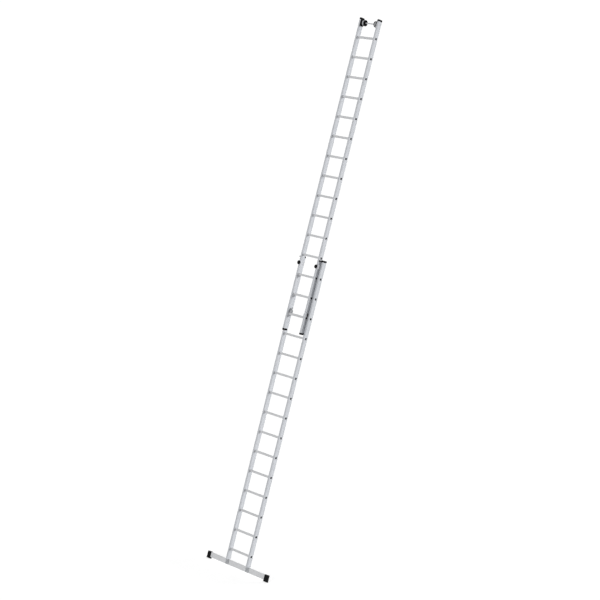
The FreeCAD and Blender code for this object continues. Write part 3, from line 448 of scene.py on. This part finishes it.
def make_rung(half_length, inner):
    """Grooved tube with a bead inside each stile and a flange outside it."""
    bm = bmesh.new()
    treads = [tread_spacing * (k - (tread_count - 1) / 2) for k in range(tread_count)]
    outline = fluted(rung_size, rung_size, rung_corner, ((), treads, (), ()), tread_width,
                     tread_depth)
    tube_end = half_length - flange_thick / 2
    loft(bm, [[(x, point.x, point.y) for point in outline] for x in (-tube_end, tube_end)])
    for side in (-1, 1):
        bead = []
        for k in range(bead_steps + 1):
            turn = math.pi * k / bead_steps
            size = rung_size + 2 * bead_height * math.sin(turn)
            x = side * (inner - bead_width / 2) - bead_width / 2 * math.cos(turn)
            bead.append([to_x @ point for point in ring(size, size, rung_corner, x)])
        loft(bm, bead)
        low, high = sorted((side * (half_length - flange_thick), side * half_length))
        edges = (0, flange_edge) if side > 0 else (flange_edge, 0)
        flange = pillow(flange_size, flange_size, flange_corner, low, high, *edges)
        loft(bm, [[to_x @ point for point in points] for points in flange])
    return to_mesh(bm, "rung")


repeated = repeat_tree()
# The same metal as the stiles, a little paler, with its die lines across the ladder.
rung_aluminium = bare_aluminium("mill_finish_rung_aluminium", colour="#dcdddf",
                                shade="#cecfd1", streak=rung_streak, roughness=0.42)
for section in ("base", "fly"):
    low, high = extent(section + "_rung_01", section)
    inner = extent(section + "_stile_right", section)[0].x
    mesh = grow(repeated, make_rung(high.x, inner), {
        "Count": rung_count, "Step": (0, 0, rung_pitch), "Mirrored": False,
        "Finish": rung_aluminium})
    rungs = add_piece(section + "_rungs", mesh, place[section], rung_aluminium)
    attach(rungs, section)
    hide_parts(*[f"{section}_rung_{number:02d}" for number in range(1, rung_count + 1)])


# Rung plugs: square plugs of black polypropylene, pressed into the open rung ends. Each has a
# flat head with a rounded edge and a shallow square recess, as moulded plugs have.
plug_size = 0.028
plug_corner = 0.0035
plug_edge = 0.0007
plug_stem = 0.0264
plug_stem_corner = 0.0022
plug_recess_size = 0.017
plug_recess_depth = 0.0005
plug_recess_draft = 0.0005
plug_recess_corner = 0.002
plastic_grain = 0.0016
patch_size = 0.07


def moulded_plastic(name, colour, pale, roughness, grain_size, grain_depth=0.0002):
    """Moulded plastic: an even colour with paler, drier patches and a fine spark-eroded grain.
    Grain size is that of one grain, a few times the real one, so that it shows at all."""
    material, tree = new_material(name)
    coords = node(tree, "ShaderNodeTexCoord").outputs["Object"]
    patches = node(tree, "ShaderNodeTexNoise", Vector=coords, Scale=1 / patch_size, Detail=3.0)
    grain = node(tree, "ShaderNodeTexNoise", Vector=coords, Scale=1 / grain_size, Detail=2.0)
    share = node(tree, "ShaderNodeMapRange", Value=patches.outputs[0], From_Min=0.4, From_Max=0.75)
    tint = node(tree, "ShaderNodeMix", {"data_type": "RGBA"}, i0=share.outputs[0],
                i6=linear(colour), i7=linear(pale))
    dull = node(tree, "ShaderNodeMapRange", Value=grain.outputs[0], From_Min=0.3, From_Max=0.7,
                To_Min=roughness - 0.05, To_Max=roughness + 0.07)
    skin = node(tree, "ShaderNodeBump", Height=grain.outputs[0], Strength=0.35,
                Distance=grain_depth)
    plastic = node(tree, "ShaderNodeBsdfPrincipled", Base_Color=tint.outputs[2],
                   Roughness=dull.outputs[0], Normal=skin.outputs[0], Specular_IOR_Level=0.12)
    node(tree, "ShaderNodeOutputMaterial", Surface=plastic.outputs[0])
    return material


def make_plug(stem_start, seat, head_end):
    """Plug about the x axis, from its stem inside the rung to its recessed head."""
    bm = bmesh.new()
    rings = [ring(plug_stem, plug_stem, plug_stem_corner, x) for x in (stem_start, seat)]
    # The head isn't rounded at its seat, so its first rings there are all alike and one is enough.
    rings += pillow(plug_size, plug_size, plug_corner, seat, head_end, 0, plug_edge)[edge_steps:]
    for draft, sunk in ((0, 0), (plug_recess_draft, plug_recess_depth)):
        size = plug_recess_size - 2 * draft
        rings.append(ring(size, size, plug_recess_corner - draft, head_end - sunk))
    loft(bm, [[to_x @ point for point in points] for points in rings])
    return to_mesh(bm, "plug")


# Straight from the mould: a deep, even black that is nearly dull.
black_plastic = moulded_plastic("moulded_black_polypropylene", colour="#060607",
                                pale="#101112", roughness=0.55, grain_size=plastic_grain)
for section in ("base", "fly"):
    low, high = extent(section + "_rung_plugs", section, side=1)
    seat = extent(section + "_rung_01", section)[1].x
    mesh = grow(repeated, make_plug(low.x, seat, high.x), {
        "Count": rung_count, "Step": (0, 0, rung_pitch), "Mirrored": True,
        "Finish": black_plastic})
    plugs = add_piece(section + "_plugs", mesh, place[section], black_plastic)
    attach(plugs, section)
    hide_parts(section + "_rung_plugs")


# Stile caps: black polypropylene covers pushed over the open ends of all stiles but the two at
# the feet. Those on the base reach forward with an arm that guides the fly; those on the fly's
# top carry the plates that the roller axle runs through.
cap_edge = 0.0008
cap_rib_count = 9
cap_rib_spacing = 0.0065
cap_rib_width = 0.002
cap_rib_proud = 0.0007
cap_rib_edge = 0.00063
cap_rib_height = 0.013
cap_rib_inset = 0.006
same_cad_point = 1e-5
flat_enough = math.radians(1)


def softened(name, edge):
    """Copy of a CAD node's mesh, merged to whole faces, with its sharp corners rounded."""
    bm = bmesh.new()
    bm.from_mesh(nodes[name].data)
    bmesh.ops.remove_doubles(bm, verts=bm.verts, dist=same_cad_point)
    bmesh.ops.dissolve_limit(bm, angle_limit=flat_enough, verts=bm.verts, edges=bm.edges)
    sharp = [e for e in bm.edges if e.is_manifold and e.calc_face_angle() > sharp_corner]
    bmesh.ops.bevel(bm, geom=sharp, offset=edge, offset_type="OFFSET", segments=2, profile=0.5,
                    affect="EDGES", clamp_overlap=True)
    mesh = bpy.data.meshes.new(name + "_softened")
    bm.to_mesh(mesh)
    bm.free()
    return mesh


def joined(meshes):
    """One mesh from several."""
    bm = bmesh.new()
    for mesh in meshes:
        bm.from_mesh(mesh)
    whole = bpy.data.meshes.new(meshes[0].name)
    bm.to_mesh(whole)
    bm.free()
    return whole


def make_rib(centre, width, depth, height, edge):
    """Upright rib with rounded edges about a point."""
    bm = bmesh.new()
    rings = pillow(width, depth, edge, -height / 2, height / 2, edge, edge)
    loft(bm, [[point + Vector(centre) for point in points] for points in rings])
    return to_mesh(bm, "rib")


capped_ends = (("base_top_caps", "base", 1), ("fly_top_caps", "fly", 1),
               ("fly_bottom_caps", "fly", -1))
for node_name, section, end in capped_ends:
    low, high = extent(node_name, section, side=1)
    tip = (high if end > 0 else low).z - end * (cap_rib_height / 2 + cap_rib_inset)
    first_rib = (high.x, -cap_rib_spacing * (cap_rib_count - 1) / 2, tip)
    rib = make_rib(first_rib, 2 * cap_rib_proud, cap_rib_width, cap_rib_height, cap_rib_edge)
    ribs = grow(repeated, rib, {
        "Count": cap_rib_count, "Step": (0, cap_rib_spacing, 0), "Mirrored": True,
        "Finish": black_plastic})
    ribs.transform(place[section])
    mesh = joined([softened(node_name, cap_edge), ribs])
    caps = add_piece("moulded_" + node_name, mesh, Matrix(), black_plastic)
    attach(caps, section)
    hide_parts(node_name)


# Guides: a pressed aluminium angle on each base stile reaches round the front of the fly stile.
# Two blind rivets hold it, and a black nylon glide snaps into its front lip, with a pad behind
# and a dished button in front.
bracket_edge = 0.0007
bracket_streak = (0.4, 0.02, 0.005)
lip_thick = 0.005
glide_groove = 0.0012
glide_round = 0.004
glide_chamfer = 0.001
glide_pad_share = 0.63
rivet_streak = (0.004, 0.004, 0.004)
rivet_head_radius = 0.0055
rivet_shank_radius = 0.003
to_y = Matrix.Rotation(math.pi / 2, 4, "Z")

# The button's face, from its rim to its middle: shares of its radius and of its groove's depth.
glide_face = ((0.62, 0), (0.59, 1), (0.53, 1), (0.5, 0), (0.3, 0), (0.2, 2), (0, 2))

# A rivet's head, as depths below its top with their radii, and its tail, likewise from its end.
rivet_head = ((0.0007, 0), (0.0007, 0.0011), (0, 0.0014), (0.0002, 0.003),
              (0.0014, rivet_head_radius - 0.0004), (0.002, rivet_head_radius),
              (0.0024, rivet_head_radius), (0.0024, rivet_shank_radius))
rivet_tail = ((0.0005, rivet_shank_radius), (0, 0.002), (0, 0))


def lathe(profile, closed=False, steps=48):
    """Solid turned about the x axis from pairs of x and radius; a closed profile makes a ring."""
    bm = bmesh.new()
    rings = []
    for k in range(steps):
        turn = 2 * math.pi * k / steps
        up, along = math.sin(turn), math.cos(turn)
        rings.append([bm.verts.new((x, radius * along, radius * up)) for x, radius in profile])
    for k in range(steps):
        for j in range(0 if closed else 1, len(profile)):
            corners = (rings[k - 1][j - 1], rings[k - 1][j], rings[k][j], rings[k][j - 1])
            bm.faces.new(corners)
    return to_mesh(bm, "turned")


def domed(start, end, radius, rounding, steps=4):
    """Profile points of a disc's rim that is rounded towards its end."""
    way = 1 if end > start else -1
    points = []
    for k in range(steps + 1):
        turn = math.pi / 2 * k / steps
        points.append((end - way * rounding * (1 - math.sin(turn)),
                       radius - rounding * (1 - math.cos(turn))))
    return points


# Rolled sheet, cut and pressed: greyer than the extrusions, with broad rolling marks.
bracket_aluminium = bare_aluminium("pressed_aluminium_plate", colour="#c2c3c7",
                                   shade="#b3b4b9", streak=bracket_streak, roughness=0.45)
for side_name in ("left", "right"):
    node_name = "guide_bracket_" + side_name
    mesh = softened(node_name, bracket_edge)
    bracket = add_piece("pressed_" + node_name, mesh, Matrix(), bracket_aluminium)
    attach(bracket, "base")
    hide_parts(node_name)

low, high = extent("guide_glides", "base", side=1)
lip_front = extent("guide_bracket_right", "base")[0].y
lip_back = lip_front + lip_thick
radius = (high.z - low.z) / 2
pad_radius = radius * glide_pad_share
neck_radius = radius / 3
profile = [(high.y, 0), (high.y, pad_radius - glide_chamfer), (high.y - glide_chamfer, pad_radius),
           (lip_back, pad_radius), (lip_back, neck_radius), (lip_front, neck_radius),
           (lip_front, radius - glide_chamfer), (lip_front - glide_chamfer, radius)]
profile += domed(lip_front, low.y, radius, glide_round)
profile += [(low.y + glide_groove * depth, radius * share) for share, depth in glide_face]
glide = lathe(profile)
centre = Vector(((low.x + high.x) / 2, 0, (low.z + high.z) / 2))
glide.transform(Matrix.Translation(centre) @ to_y)
mesh = grow(repeated, glide, {
    "Count": 1, "Step": (0, 0, 0), "Mirrored": True, "Finish": black_plastic})
glides = add_piece("nylon_guide_glides", mesh, place["base"], black_plastic)
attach(glides, "base")
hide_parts("guide_glides")

# Formed in a polished die: small bright heads without the extrusions' lines.
rivet_aluminium = bare_aluminium("bright_rivet_aluminium", colour="#d5d6d8",
                                 shade="#c6c7ca", streak=rivet_streak, roughness=0.32)


def add_rivets(node_name, section):
    """Blind rivets between the corners of their CAD group: dished heads, shanks and set tails."""
    low, high = extent(node_name, section, side=1)
    profile = [(low.x + depth, radius) for depth, radius in rivet_head]
    profile += [(high.x - back, radius) for back, radius in rivet_tail]
    rivet = lathe(profile, steps=20)
    rivet.transform(Matrix.Translation((0, low.y + rivet_head_radius, low.z + rivet_head_radius)))
    step = (0, high.y - low.y - 2 * rivet_head_radius, high.z - low.z - 2 * rivet_head_radius)
    mesh = grow(repeated, rivet, {
        "Count": 2, "Step": step, "Mirrored": True, "Finish": rivet_aluminium})
    rivets = add_piece("blind_" + node_name, mesh, place[section], rivet_aluminium)
    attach(rivets, section)
    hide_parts(node_name)


add_rivets("guide_rivets", "base")


# Stabiliser: a wide box extrusion across the foot, with two grooves along its front. At each
# stile a die-cast aluminium bracket sits on the bar, with a tongue up the hollow stile and two
# hexagon bolts through the bar.
bar_corner = 0.004
bar_streak = (0.9, 0.004, 0.004)
bar_groove_width = 0.005
bar_groove_depth = 0.0008
bar_groove_inset = 0.0175
cast_edge = 0.001
cast_plate = 0.0035
cast_rib_width = 0.004
cast_rib_height = 0.054
cast_rib_proud = 0.0018
cast_rib_edge = 0.0012
cast_rib_spacing = 0.011
bolt_across = 0.013
bolt_head_high = 0.0053
bolt_radius = 0.004
bolt_chamfer = 0.0008
bolt_past_nut = 0.0015
bolt_spacing = 0.04
nut_high = 0.0065
hexagon_points = 24
hexagon_chamfer_share = 0.08
pebble_size = 0.002
cloud_size = 0.025
spangle_size = 0.003


def cast_metal(name, colour, shade, roughness):
    """Die-cast aluminium: greyer and duller than the extrusions, with a fine pebbled skin. Its
    pebbles are drawn 2 mm wide, several times the real size, so that the skin breaks the light."""
    material, tree = new_material(name)
    coords = node(tree, "ShaderNodeTexCoord").outputs["Object"]
    skin = node(tree, "ShaderNodeTexNoise", Vector=coords, Scale=1 / pebble_size, Detail=3.0)
    cloud = node(tree, "ShaderNodeTexNoise", Vector=coords, Scale=1 / cloud_size, Detail=3.0)
    share = node(tree, "ShaderNodeMapRange", Value=cloud.outputs[0], From_Min=0.35, From_Max=0.65)
    tint = node(tree, "ShaderNodeMix", {"data_type": "RGBA"}, i0=share.outputs[0],
                i6=linear(shade), i7=linear(colour))
    dull = node(tree, "ShaderNodeMapRange", Value=skin.outputs[0], From_Min=0.3, From_Max=0.7,
                To_Min=roughness - 0.08, To_Max=roughness + 0.08)
    pebbles = node(tree, "ShaderNodeBump", Height=skin.outputs[0], Strength=0.5, Distance=0.0003)
    metal = node(tree, "ShaderNodeBsdfPrincipled", Base_Color=tint.outputs[2], Metallic=0.9,
                 Roughness=dull.outputs[0], Normal=pebbles.outputs[0])
    node(tree, "ShaderNodeOutputMaterial", Surface=metal.outputs[0])
    return material


def zinc_plate(name):
    """Zinc-plated steel: bright and cool, with the plating's faint crystals, drawn 3 mm wide."""
    material, tree = new_material(name)
    coords = node(tree, "ShaderNodeTexCoord").outputs["Object"]
    spangle = node(tree, "ShaderNodeTexVoronoi", Vector=coords, Scale=1 / spangle_size)
    tint = node(tree, "ShaderNodeMix", {"data_type": "RGBA"}, i0=spangle.outputs["Color"],
                i6=linear("#a9adb1"), i7=linear("#bfc2c4"))
    dull = node(tree, "ShaderNodeMapRange", Value=spangle.outputs["Distance"], To_Min=0.25,
                To_Max=0.4)
    metal = node(tree, "ShaderNodeBsdfPrincipled", Base_Color=tint.outputs[2], Metallic=1.0,
                 Roughness=dull.outputs[0])
    node(tree, "ShaderNodeOutputMaterial", Surface=metal.outputs[0])
    return material


# The palest of the extrusions, with lines along the bar.
bar_aluminium = bare_aluminium("mill_finish_bar_aluminium", colour="#e3e4e6",
                               shade="#d7d8da", streak=bar_streak, roughness=0.42)
low, high = extent("stabiliser_bar", "base")
width, depth, height = high - low
groove_places = (bar_groove_inset - height / 2, height / 2 - bar_groove_inset)
outline = fluted(depth, height, bar_corner, ((), (), groove_places, ()), bar_groove_width,
                 bar_groove_depth)
bar_middle = (low + high) / 2
plate_front = low.y - cast_plate
bm = bmesh.new()
loft(bm, [[(x, bar_middle.y + point.x, bar_middle.z + point.y) for point in outline]
          for x in (low.x, high.x)])
bar = add_piece("extruded_stabiliser_bar", to_mesh(bm, "bar"), place["base"], bar_aluminium)
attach(bar, "base")
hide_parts("stabiliser_bar")

# As it leaves the die-casting mould: grey, and duller than the bar that it sits on.
cast_aluminium = cast_metal("die_cast_aluminium", colour="#b9bbbe", shade="#a7a9ac",
                            roughness=0.52)
low, high = extent("bar_brackets", "base", side=1)
stile_middle = (low.x + high.x) / 2
first_rib = (stile_middle - cast_rib_spacing / 2, plate_front, bar_middle.z)
rib = make_rib(first_rib, cast_rib_width, 2 * cast_rib_proud, cast_rib_height, cast_rib_edge)
ribs = grow(repeated, rib, {
    "Count": 2, "Step": (cast_rib_spacing, 0, 0), "Mirrored": True, "Finish": cast_aluminium})
ribs.transform(place["base"])
mesh = joined([softened("bar_brackets", cast_edge), ribs])
castings = add_piece("cast_bar_brackets", mesh, Matrix(), cast_aluminium)
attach(castings, "base")
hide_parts("bar_brackets")


def hexagon(across, limit, height):
    """Ring of a hexagon whose corners are turned down to a radius."""
    found = []
    for k in range(hexagon_points):
        turn = 2 * math.pi * k / hexagon_points
        flat = across / 2 / math.cos((turn + math.pi / 6) % (math.pi / 3) - math.pi / 6)
        reach = min(flat, limit)
        found.append(Vector((reach * math.cos(turn), reach * math.sin(turn), height)))
    return found


def round_ring(radius, height):
    """Ring with as many points as a hexagon's, turned down all round."""
    return hexagon(3 * radius, radius, height)


def hex_solid(bm, across, low, high):
    """Hexagonal head or nut with both ends chamfered."""
    corner, flat, chamfer = across / math.sqrt(3), across / 2, across * hexagon_chamfer_share
    loft(bm, [hexagon(across, flat, low), hexagon(across, corner, low + chamfer / 2),
              hexagon(across, corner, high - chamfer), hexagon(across, flat, high)])


def make_bolt(front, back):
    """Bolt and nut about the z axis: the head's top is at front and the bolt's tip at back."""
    bm = bmesh.new()
    seat = front - bolt_head_high
    nut = back + bolt_past_nut
    hex_solid(bm, bolt_across, seat, front)
    loft(bm, [round_ring(bolt_radius - bolt_chamfer, back),
              round_ring(bolt_radius, back + bolt_chamfer), round_ring(bolt_radius, seat)])
    hex_solid(bm, bolt_across, nut, nut + nut_high)
    return to_mesh(bm, "bolt")


# Plated bolts and pins: cool and bright, with a sharper shine than the castings.
zinc_steel = zinc_plate("zinc_plated_steel")
low, high = extent("bar_bolts", "base", side=1)
bolt = make_bolt(-low.y, -high.y)
first_bolt = Matrix.Translation((stile_middle - bolt_spacing / 2, 0, bar_middle.z))
bolt.transform(first_bolt @ Matrix.Rotation(math.pi / 2, 4, "X"))
mesh = grow(repeated, bolt, {
    "Count": 2, "Step": (bolt_spacing, 0, 0), "Mirrored": True, "Finish": zinc_steel})
bolts = add_piece("hexagon_bar_bolts", mesh, place["base"], zinc_steel)
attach(bolts, "base")
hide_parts("bar_bolts")


# Feet: black moulded shoes pushed over the bar's ends, with ribs on their broad sides, and soles
# of softer rubber bonded under them. A sole's arched underside has grooves along the bar, so that
# it grips at any lean.
shoe_edge = 0.0016
shoe_rib_count = 5
shoe_rib_spacing = 0.0105
shoe_rib_width = 0.003
shoe_rib_proud = 0.001
shoe_rib_edge = 0.0009
shoe_rib_height = 0.066
sole_edge = 0.0007
dust_size = 0.033
bump_size = 0.0011


def moulded_rubber(name, colour, dusty, roughness):
    """Black rubber: darker and drier than the plastic, greyed in soft patches by dust. Its fine
    bumps are drawn about 1 mm wide, larger than the real ones, so that they show at all."""
    material, tree = new_material(name)
    coords = node(tree, "ShaderNodeTexCoord").outputs["Object"]
    dust = node(tree, "ShaderNodeTexNoise", Vector=coords, Scale=1 / dust_size, Detail=4.0)
    skin = node(tree, "ShaderNodeTexNoise", Vector=coords, Scale=1 / bump_size, Detail=2.0)
    share = node(tree, "ShaderNodeMapRange", Value=dust.outputs[0], From_Min=0.45, From_Max=0.8)
    tint = node(tree, "ShaderNodeMix", {"data_type": "RGBA"}, i0=share.outputs[0],
                i6=linear(colour), i7=linear(dusty))
    bumps = node(tree, "ShaderNodeBump", Height=skin.outputs[0], Strength=0.4, Distance=0.0002)
    rubber = node(tree, "ShaderNodeBsdfPrincipled", Base_Color=tint.outputs[2],
                  Roughness=roughness, Normal=bumps.outputs[0], Specular_IOR_Level=0.1)
    node(tree, "ShaderNodeOutputMaterial", Surface=rubber.outputs[0])
    return material


low, high = extent("foot_shoes", "base", side=1)
shoe_middle = (low + high) / 2
first_x = shoe_middle.x - shoe_rib_spacing * (shoe_rib_count - 1) / 2
shoe_parts = [softened("foot_shoes", shoe_edge)]
for face in (low.y, high.y):
    rib = make_rib((first_x, face, shoe_middle.z), shoe_rib_width, 2 * shoe_rib_proud,
                   shoe_rib_height, shoe_rib_edge)
    ribs = grow(repeated, rib, {
        "Count": shoe_rib_count, "Step": (shoe_rib_spacing, 0, 0), "Mirrored": True,
        "Finish": black_plastic})
    ribs.transform(place["base"])
    shoe_parts.append(ribs)
shoes = add_piece("moulded_foot_shoes", joined(shoe_parts), Matrix(), black_plastic)
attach(shoes, "base")
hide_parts("foot_shoes")

# Walked on and dusty: the dullest black of all.
sole_rubber = moulded_rubber("ribbed_sole_rubber", colour="#060606", dusty="#151516",
                             roughness=0.75)
soles = add_piece("rubber_foot_soles", softened("foot_soles", sole_edge), Matrix(), sole_rubber)
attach(soles, "base")
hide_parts("foot_soles")


# Wall rollers: a pale grey nylon spool with a black rubber tyre next to the stile and a wide
# black rim at its inner end, where ribs stiffen its face. Both turn on one aluminium tube, each
# between a black stop ring and the cap's plate.
axle_radius = 0.009
axle_bore = 0.007
axle_collar_radius = 0.013
axle_collar = 0.004
axle_flange_radius = 0.012
axle_flange = 0.002
axle_chamfer = 0.0005
axle_streak = (0.6, 0.003, 0.003)
stop_gap = 0.0006
roller_bore = 0.0091
tyre_width = 0.02
tyre_inside = 0.037
tyre_shoulder = 0.002
tyre_groove_spacing = 0.0045
tyre_groove_width = 0.0016
tyre_groove_depth = 0.001
hub_radius = 0.015
hub_draft = 0.001
waist_slope = 0.002
waist_shoulder = 0.0012
waist_depth = 0.002
dish_depth = 0.012
dish_wall = 0.006
dish_draft = 0.002
nylon_grain = 0.002
rim_width = 0.008
rim_dish = 0.003
rim_wall = 0.006
rim_draft = 0.001
rim_rib_count = 8
rim_rib_width = 0.0022
rim_rib_edge = 0.0006
rim_rib_set_in = 0.001

# Drawn tube: smoother than the extrusions, with faint lines along its length.
axle_aluminium = bare_aluminium("drawn_axle_aluminium", colour="#d6d7d9", shade="#c9cacc",
                                streak=axle_streak, roughness=0.35)
low, high = extent("roller_axle", "fly")
axle_middle = (low + high) / 2
axle_end = high.x
flange_start = axle_end - axle_flange
outside = [(axle_end, axle_bore), (axle_end, axle_flange_radius - axle_chamfer),
           (axle_end - axle_chamfer, axle_flange_radius), (flange_start, axle_flange_radius),
           (flange_start, axle_radius)]
tube = lathe(outside + [(-x, radius) for x, radius in reversed(outside)], closed=True)
on_axle = Matrix.Translation((0, axle_middle.y, axle_middle.z))
axle = add_piece("drawn_roller_axle", tube, place["fly"] @ on_axle, axle_aluminium)
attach(axle, "fly")
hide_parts("roller_axle")

stop = extent("wall_roller_right", "fly")[0].x - rim_width - stop_gap
stop_start = stop - axle_collar
ring_edge = axle_collar_radius - axle_chamfer
stop_ring = lathe([
    (stop_start, axle_radius), (stop_start, ring_edge),
    (stop_start + axle_chamfer, axle_collar_radius), (stop - axle_chamfer, axle_collar_radius),
    (stop, ring_edge), (stop, axle_radius)], closed=True)
mesh = grow(repeated, stop_ring, {
    "Count": 1, "Step": (0, 0, 0), "Mirrored": True, "Finish": black_plastic})
rings = add_piece("nylon_stop_rings", mesh, place["fly"] @ on_axle, black_plastic)
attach(rings, "fly")


def rounded_rim(low, high, radius):
    """Profile points across a rim, from its low to its high x, with both shoulders rounded."""
    shoulder = domed(low, high, radius, tyre_shoulder)
    return [(low + high - x, r) for x, r in reversed(shoulder)] + shoulder


def make_core(inner, outer, radius):
    """Spool with a waist between rim and tyre and a dished face towards the stile."""
    waist_end = outer - tyre_width
    waist = [(inner, radius), (inner + waist_slope, radius - waist_shoulder),
             ((inner + waist_end) / 2, radius - waist_depth),
             (waist_end - waist_slope, radius - waist_shoulder), (waist_end, radius)]
    dish = [(outer, radius - dish_wall), (outer - dish_depth, radius - dish_wall - dish_draft),
            (outer - dish_depth, hub_radius + hub_draft), (outer, hub_radius - hub_draft)]
    return lathe([(inner, roller_bore)] + waist + [(outer, radius)] + dish
                 + [(outer, roller_bore)], closed=True)


def make_tyre(inner, outer, radius):
    """Tyre with three grooves round its tread."""
    shoulders = rounded_rim(inner, outer, radius)
    grooves = []
    for step in (-1, 0, 1):
        centre = (inner + outer) / 2 + step * tyre_groove_spacing
        for across_share, depth_share in groove_section:
            grooves.append((centre + across_share * tyre_groove_width,
                            radius - depth_share * tyre_groove_depth))
    half = len(shoulders) // 2
    return lathe([(inner, tyre_inside)] + shoulders[:half] + grooves + shoulders[half:]
                 + [(outer, tyre_inside)], closed=True)


def make_rim(inner, outer, radius):
    """Rim whose inner face is dished and stiffened with ribs."""
    face = [(inner, hub_radius - hub_draft), (inner + rim_dish, hub_radius),
            (inner + rim_dish, radius - rim_wall - rim_draft), (inner, radius - rim_wall)]
    disc = lathe([(outer, roller_bore), (inner, roller_bore)] + face
                 + rounded_rim(inner, outer, radius), closed=True)
    reach = radius - rim_wall - hub_radius
    centre = (inner + rim_dish / 2 + rim_rib_edge, 0, hub_radius + reach / 2)
    rib = make_rib(centre, rim_dish, rim_rib_width, reach + 2 * rim_rib_set_in, rim_rib_edge)
    ribs = grow(repeated, rib, {
        "Count": rim_rib_count, "Step": (0, 0, 0), "Turn": (2 * math.pi / rim_rib_count, 0, 0),
        "Mirrored": False, "Finish": tyre_rubber})
    return joined([disc, ribs])


# Nylon dyed pale grey, slightly glossier than the black plastic.
grey_nylon = moulded_plastic("moulded_pale_grey_nylon", colour="#b9bbbd", pale="#c6c8ca",
                             roughness=0.45, grain_size=nylon_grain)
# Wiped clean by rolling: a little smoother and blacker than the soles.
tyre_rubber = moulded_rubber("tyre_rubber", colour="#060606", dusty="#131314", roughness=0.65)
for side_name, side in (("left", -1), ("right", 1)):
    body = "roller_" + side_name
    flip = Matrix.Rotation(math.pi if side < 0 else 0, 4, "Z")
    low, high = extent("wall_roller_right", "fly")
    tyres_low, tyres_high = extent("roller_tyres_right", "fly")
    radius = (tyres_high.z - tyres_low.z) / 2
    mesh = make_core(low.x, high.x, tyre_inside)
    core = add_piece("nylon_core_" + side_name, mesh, place["fly"] @ on_axle @ flip, grey_nylon)
    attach(core, body)
    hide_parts("wall_roller_" + side_name)
    mesh = joined([make_tyre(high.x - tyre_width, high.x, radius),
                   make_rim(tyres_low.x, low.x, radius)])
    tyres = add_piece("rubber_tyres_" + side_name, mesh, place["fly"] @ on_axle @ flip,
                      tyre_rubber)
    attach(tyres, body)
    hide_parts("roller_tyres_" + side_name)


# Drop hooks: cast aluminium brackets riveted inside the fly stiles, on the lowest rung. In each
# a cast hook turns on a steel pin; raised it stands clear of the base rungs, and lowered it lies
# over one of them.
hook_edge = 0.0008
pin_head = 0.0025
pin_radius = 0.004

# The pin's head, as depths below its top and shares of its radius.
pin_dome = ((0, 0), (0.0003, 0.5), (0.001, 0.85), (0.0018, 1), (pin_head, 1))

# Cast like the brackets at the foot, and very slightly smoother.
hook_aluminium = cast_metal("cast_hook_aluminium", colour="#b9bbbd", shade="#a9abae",
                            roughness=0.5)
for side_name in ("left", "right"):
    node_name = "hook_bracket_" + side_name
    mesh = softened(node_name, bracket_edge)
    bracket = add_piece("cast_" + node_name, mesh, Matrix(), hook_aluminium)
    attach(bracket, "fly")
    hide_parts(node_name)
    node_name = "drop_hook_" + side_name
    mesh = softened(node_name, hook_edge)
    hook = add_piece("cast_" + node_name, mesh, Matrix(), hook_aluminium)
    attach(hook, "hook_" + side_name)
    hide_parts(node_name)

low, high = extent("hook_pins", "fly", side=1)
head_radius = (high.z - low.z) / 2
profile = [(low.x + depth, head_radius * share) for depth, share in pin_dome]
profile += [(low.x + pin_head, pin_radius), (high.x, pin_radius), (high.x, 0)]
pin = lathe(profile, steps=32)
pin.transform(Matrix.Translation((0, (low.y + high.y) / 2, (low.z + high.z) / 2)))
mesh = grow(repeated, pin, {
    "Count": 1, "Step": (0, 0, 0), "Mirrored": True, "Finish": zinc_steel})
pins = add_piece("steel_hook_pins", mesh, place["fly"], zinc_steel)
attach(pins, "fly")
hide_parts("hook_pins")
add_rivets("hook_rivets", "fly")


# Side glides: black nylon blocks on the outer faces of the fly stiles, which run along the base
# stiles and keep metal off metal. Shallow ribs across the running face carry grease.
glide_edge = 0.0008
glide_rib_count = 4
glide_rib_spacing = 0.009
glide_rib_thick = 0.001
glide_rib_height = 0.003
glide_rib_edge = 0.0004
glide_rib_share = 0.7

low, high = extent("side_glides", "fly", side=1)
glide_middle = (low + high) / 2
first_rib = (high.x - glide_rib_edge, glide_middle.y,
             glide_middle.z - glide_rib_spacing * (glide_rib_count - 1) / 2)
rib = make_rib(first_rib, glide_rib_thick, (high.y - low.y) * glide_rib_share, glide_rib_height,
               glide_rib_edge)
ribs = grow(repeated, rib, {
    "Count": glide_rib_count, "Step": (0, 0, glide_rib_spacing), "Mirrored": True,
    "Finish": black_plastic})
ribs.transform(place["fly"])
mesh = joined([softened("side_glides", glide_edge), ribs])
blocks = add_piece("nylon_side_glides", mesh, Matrix(), black_plastic)
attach(blocks, "fly")
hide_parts("side_glides")
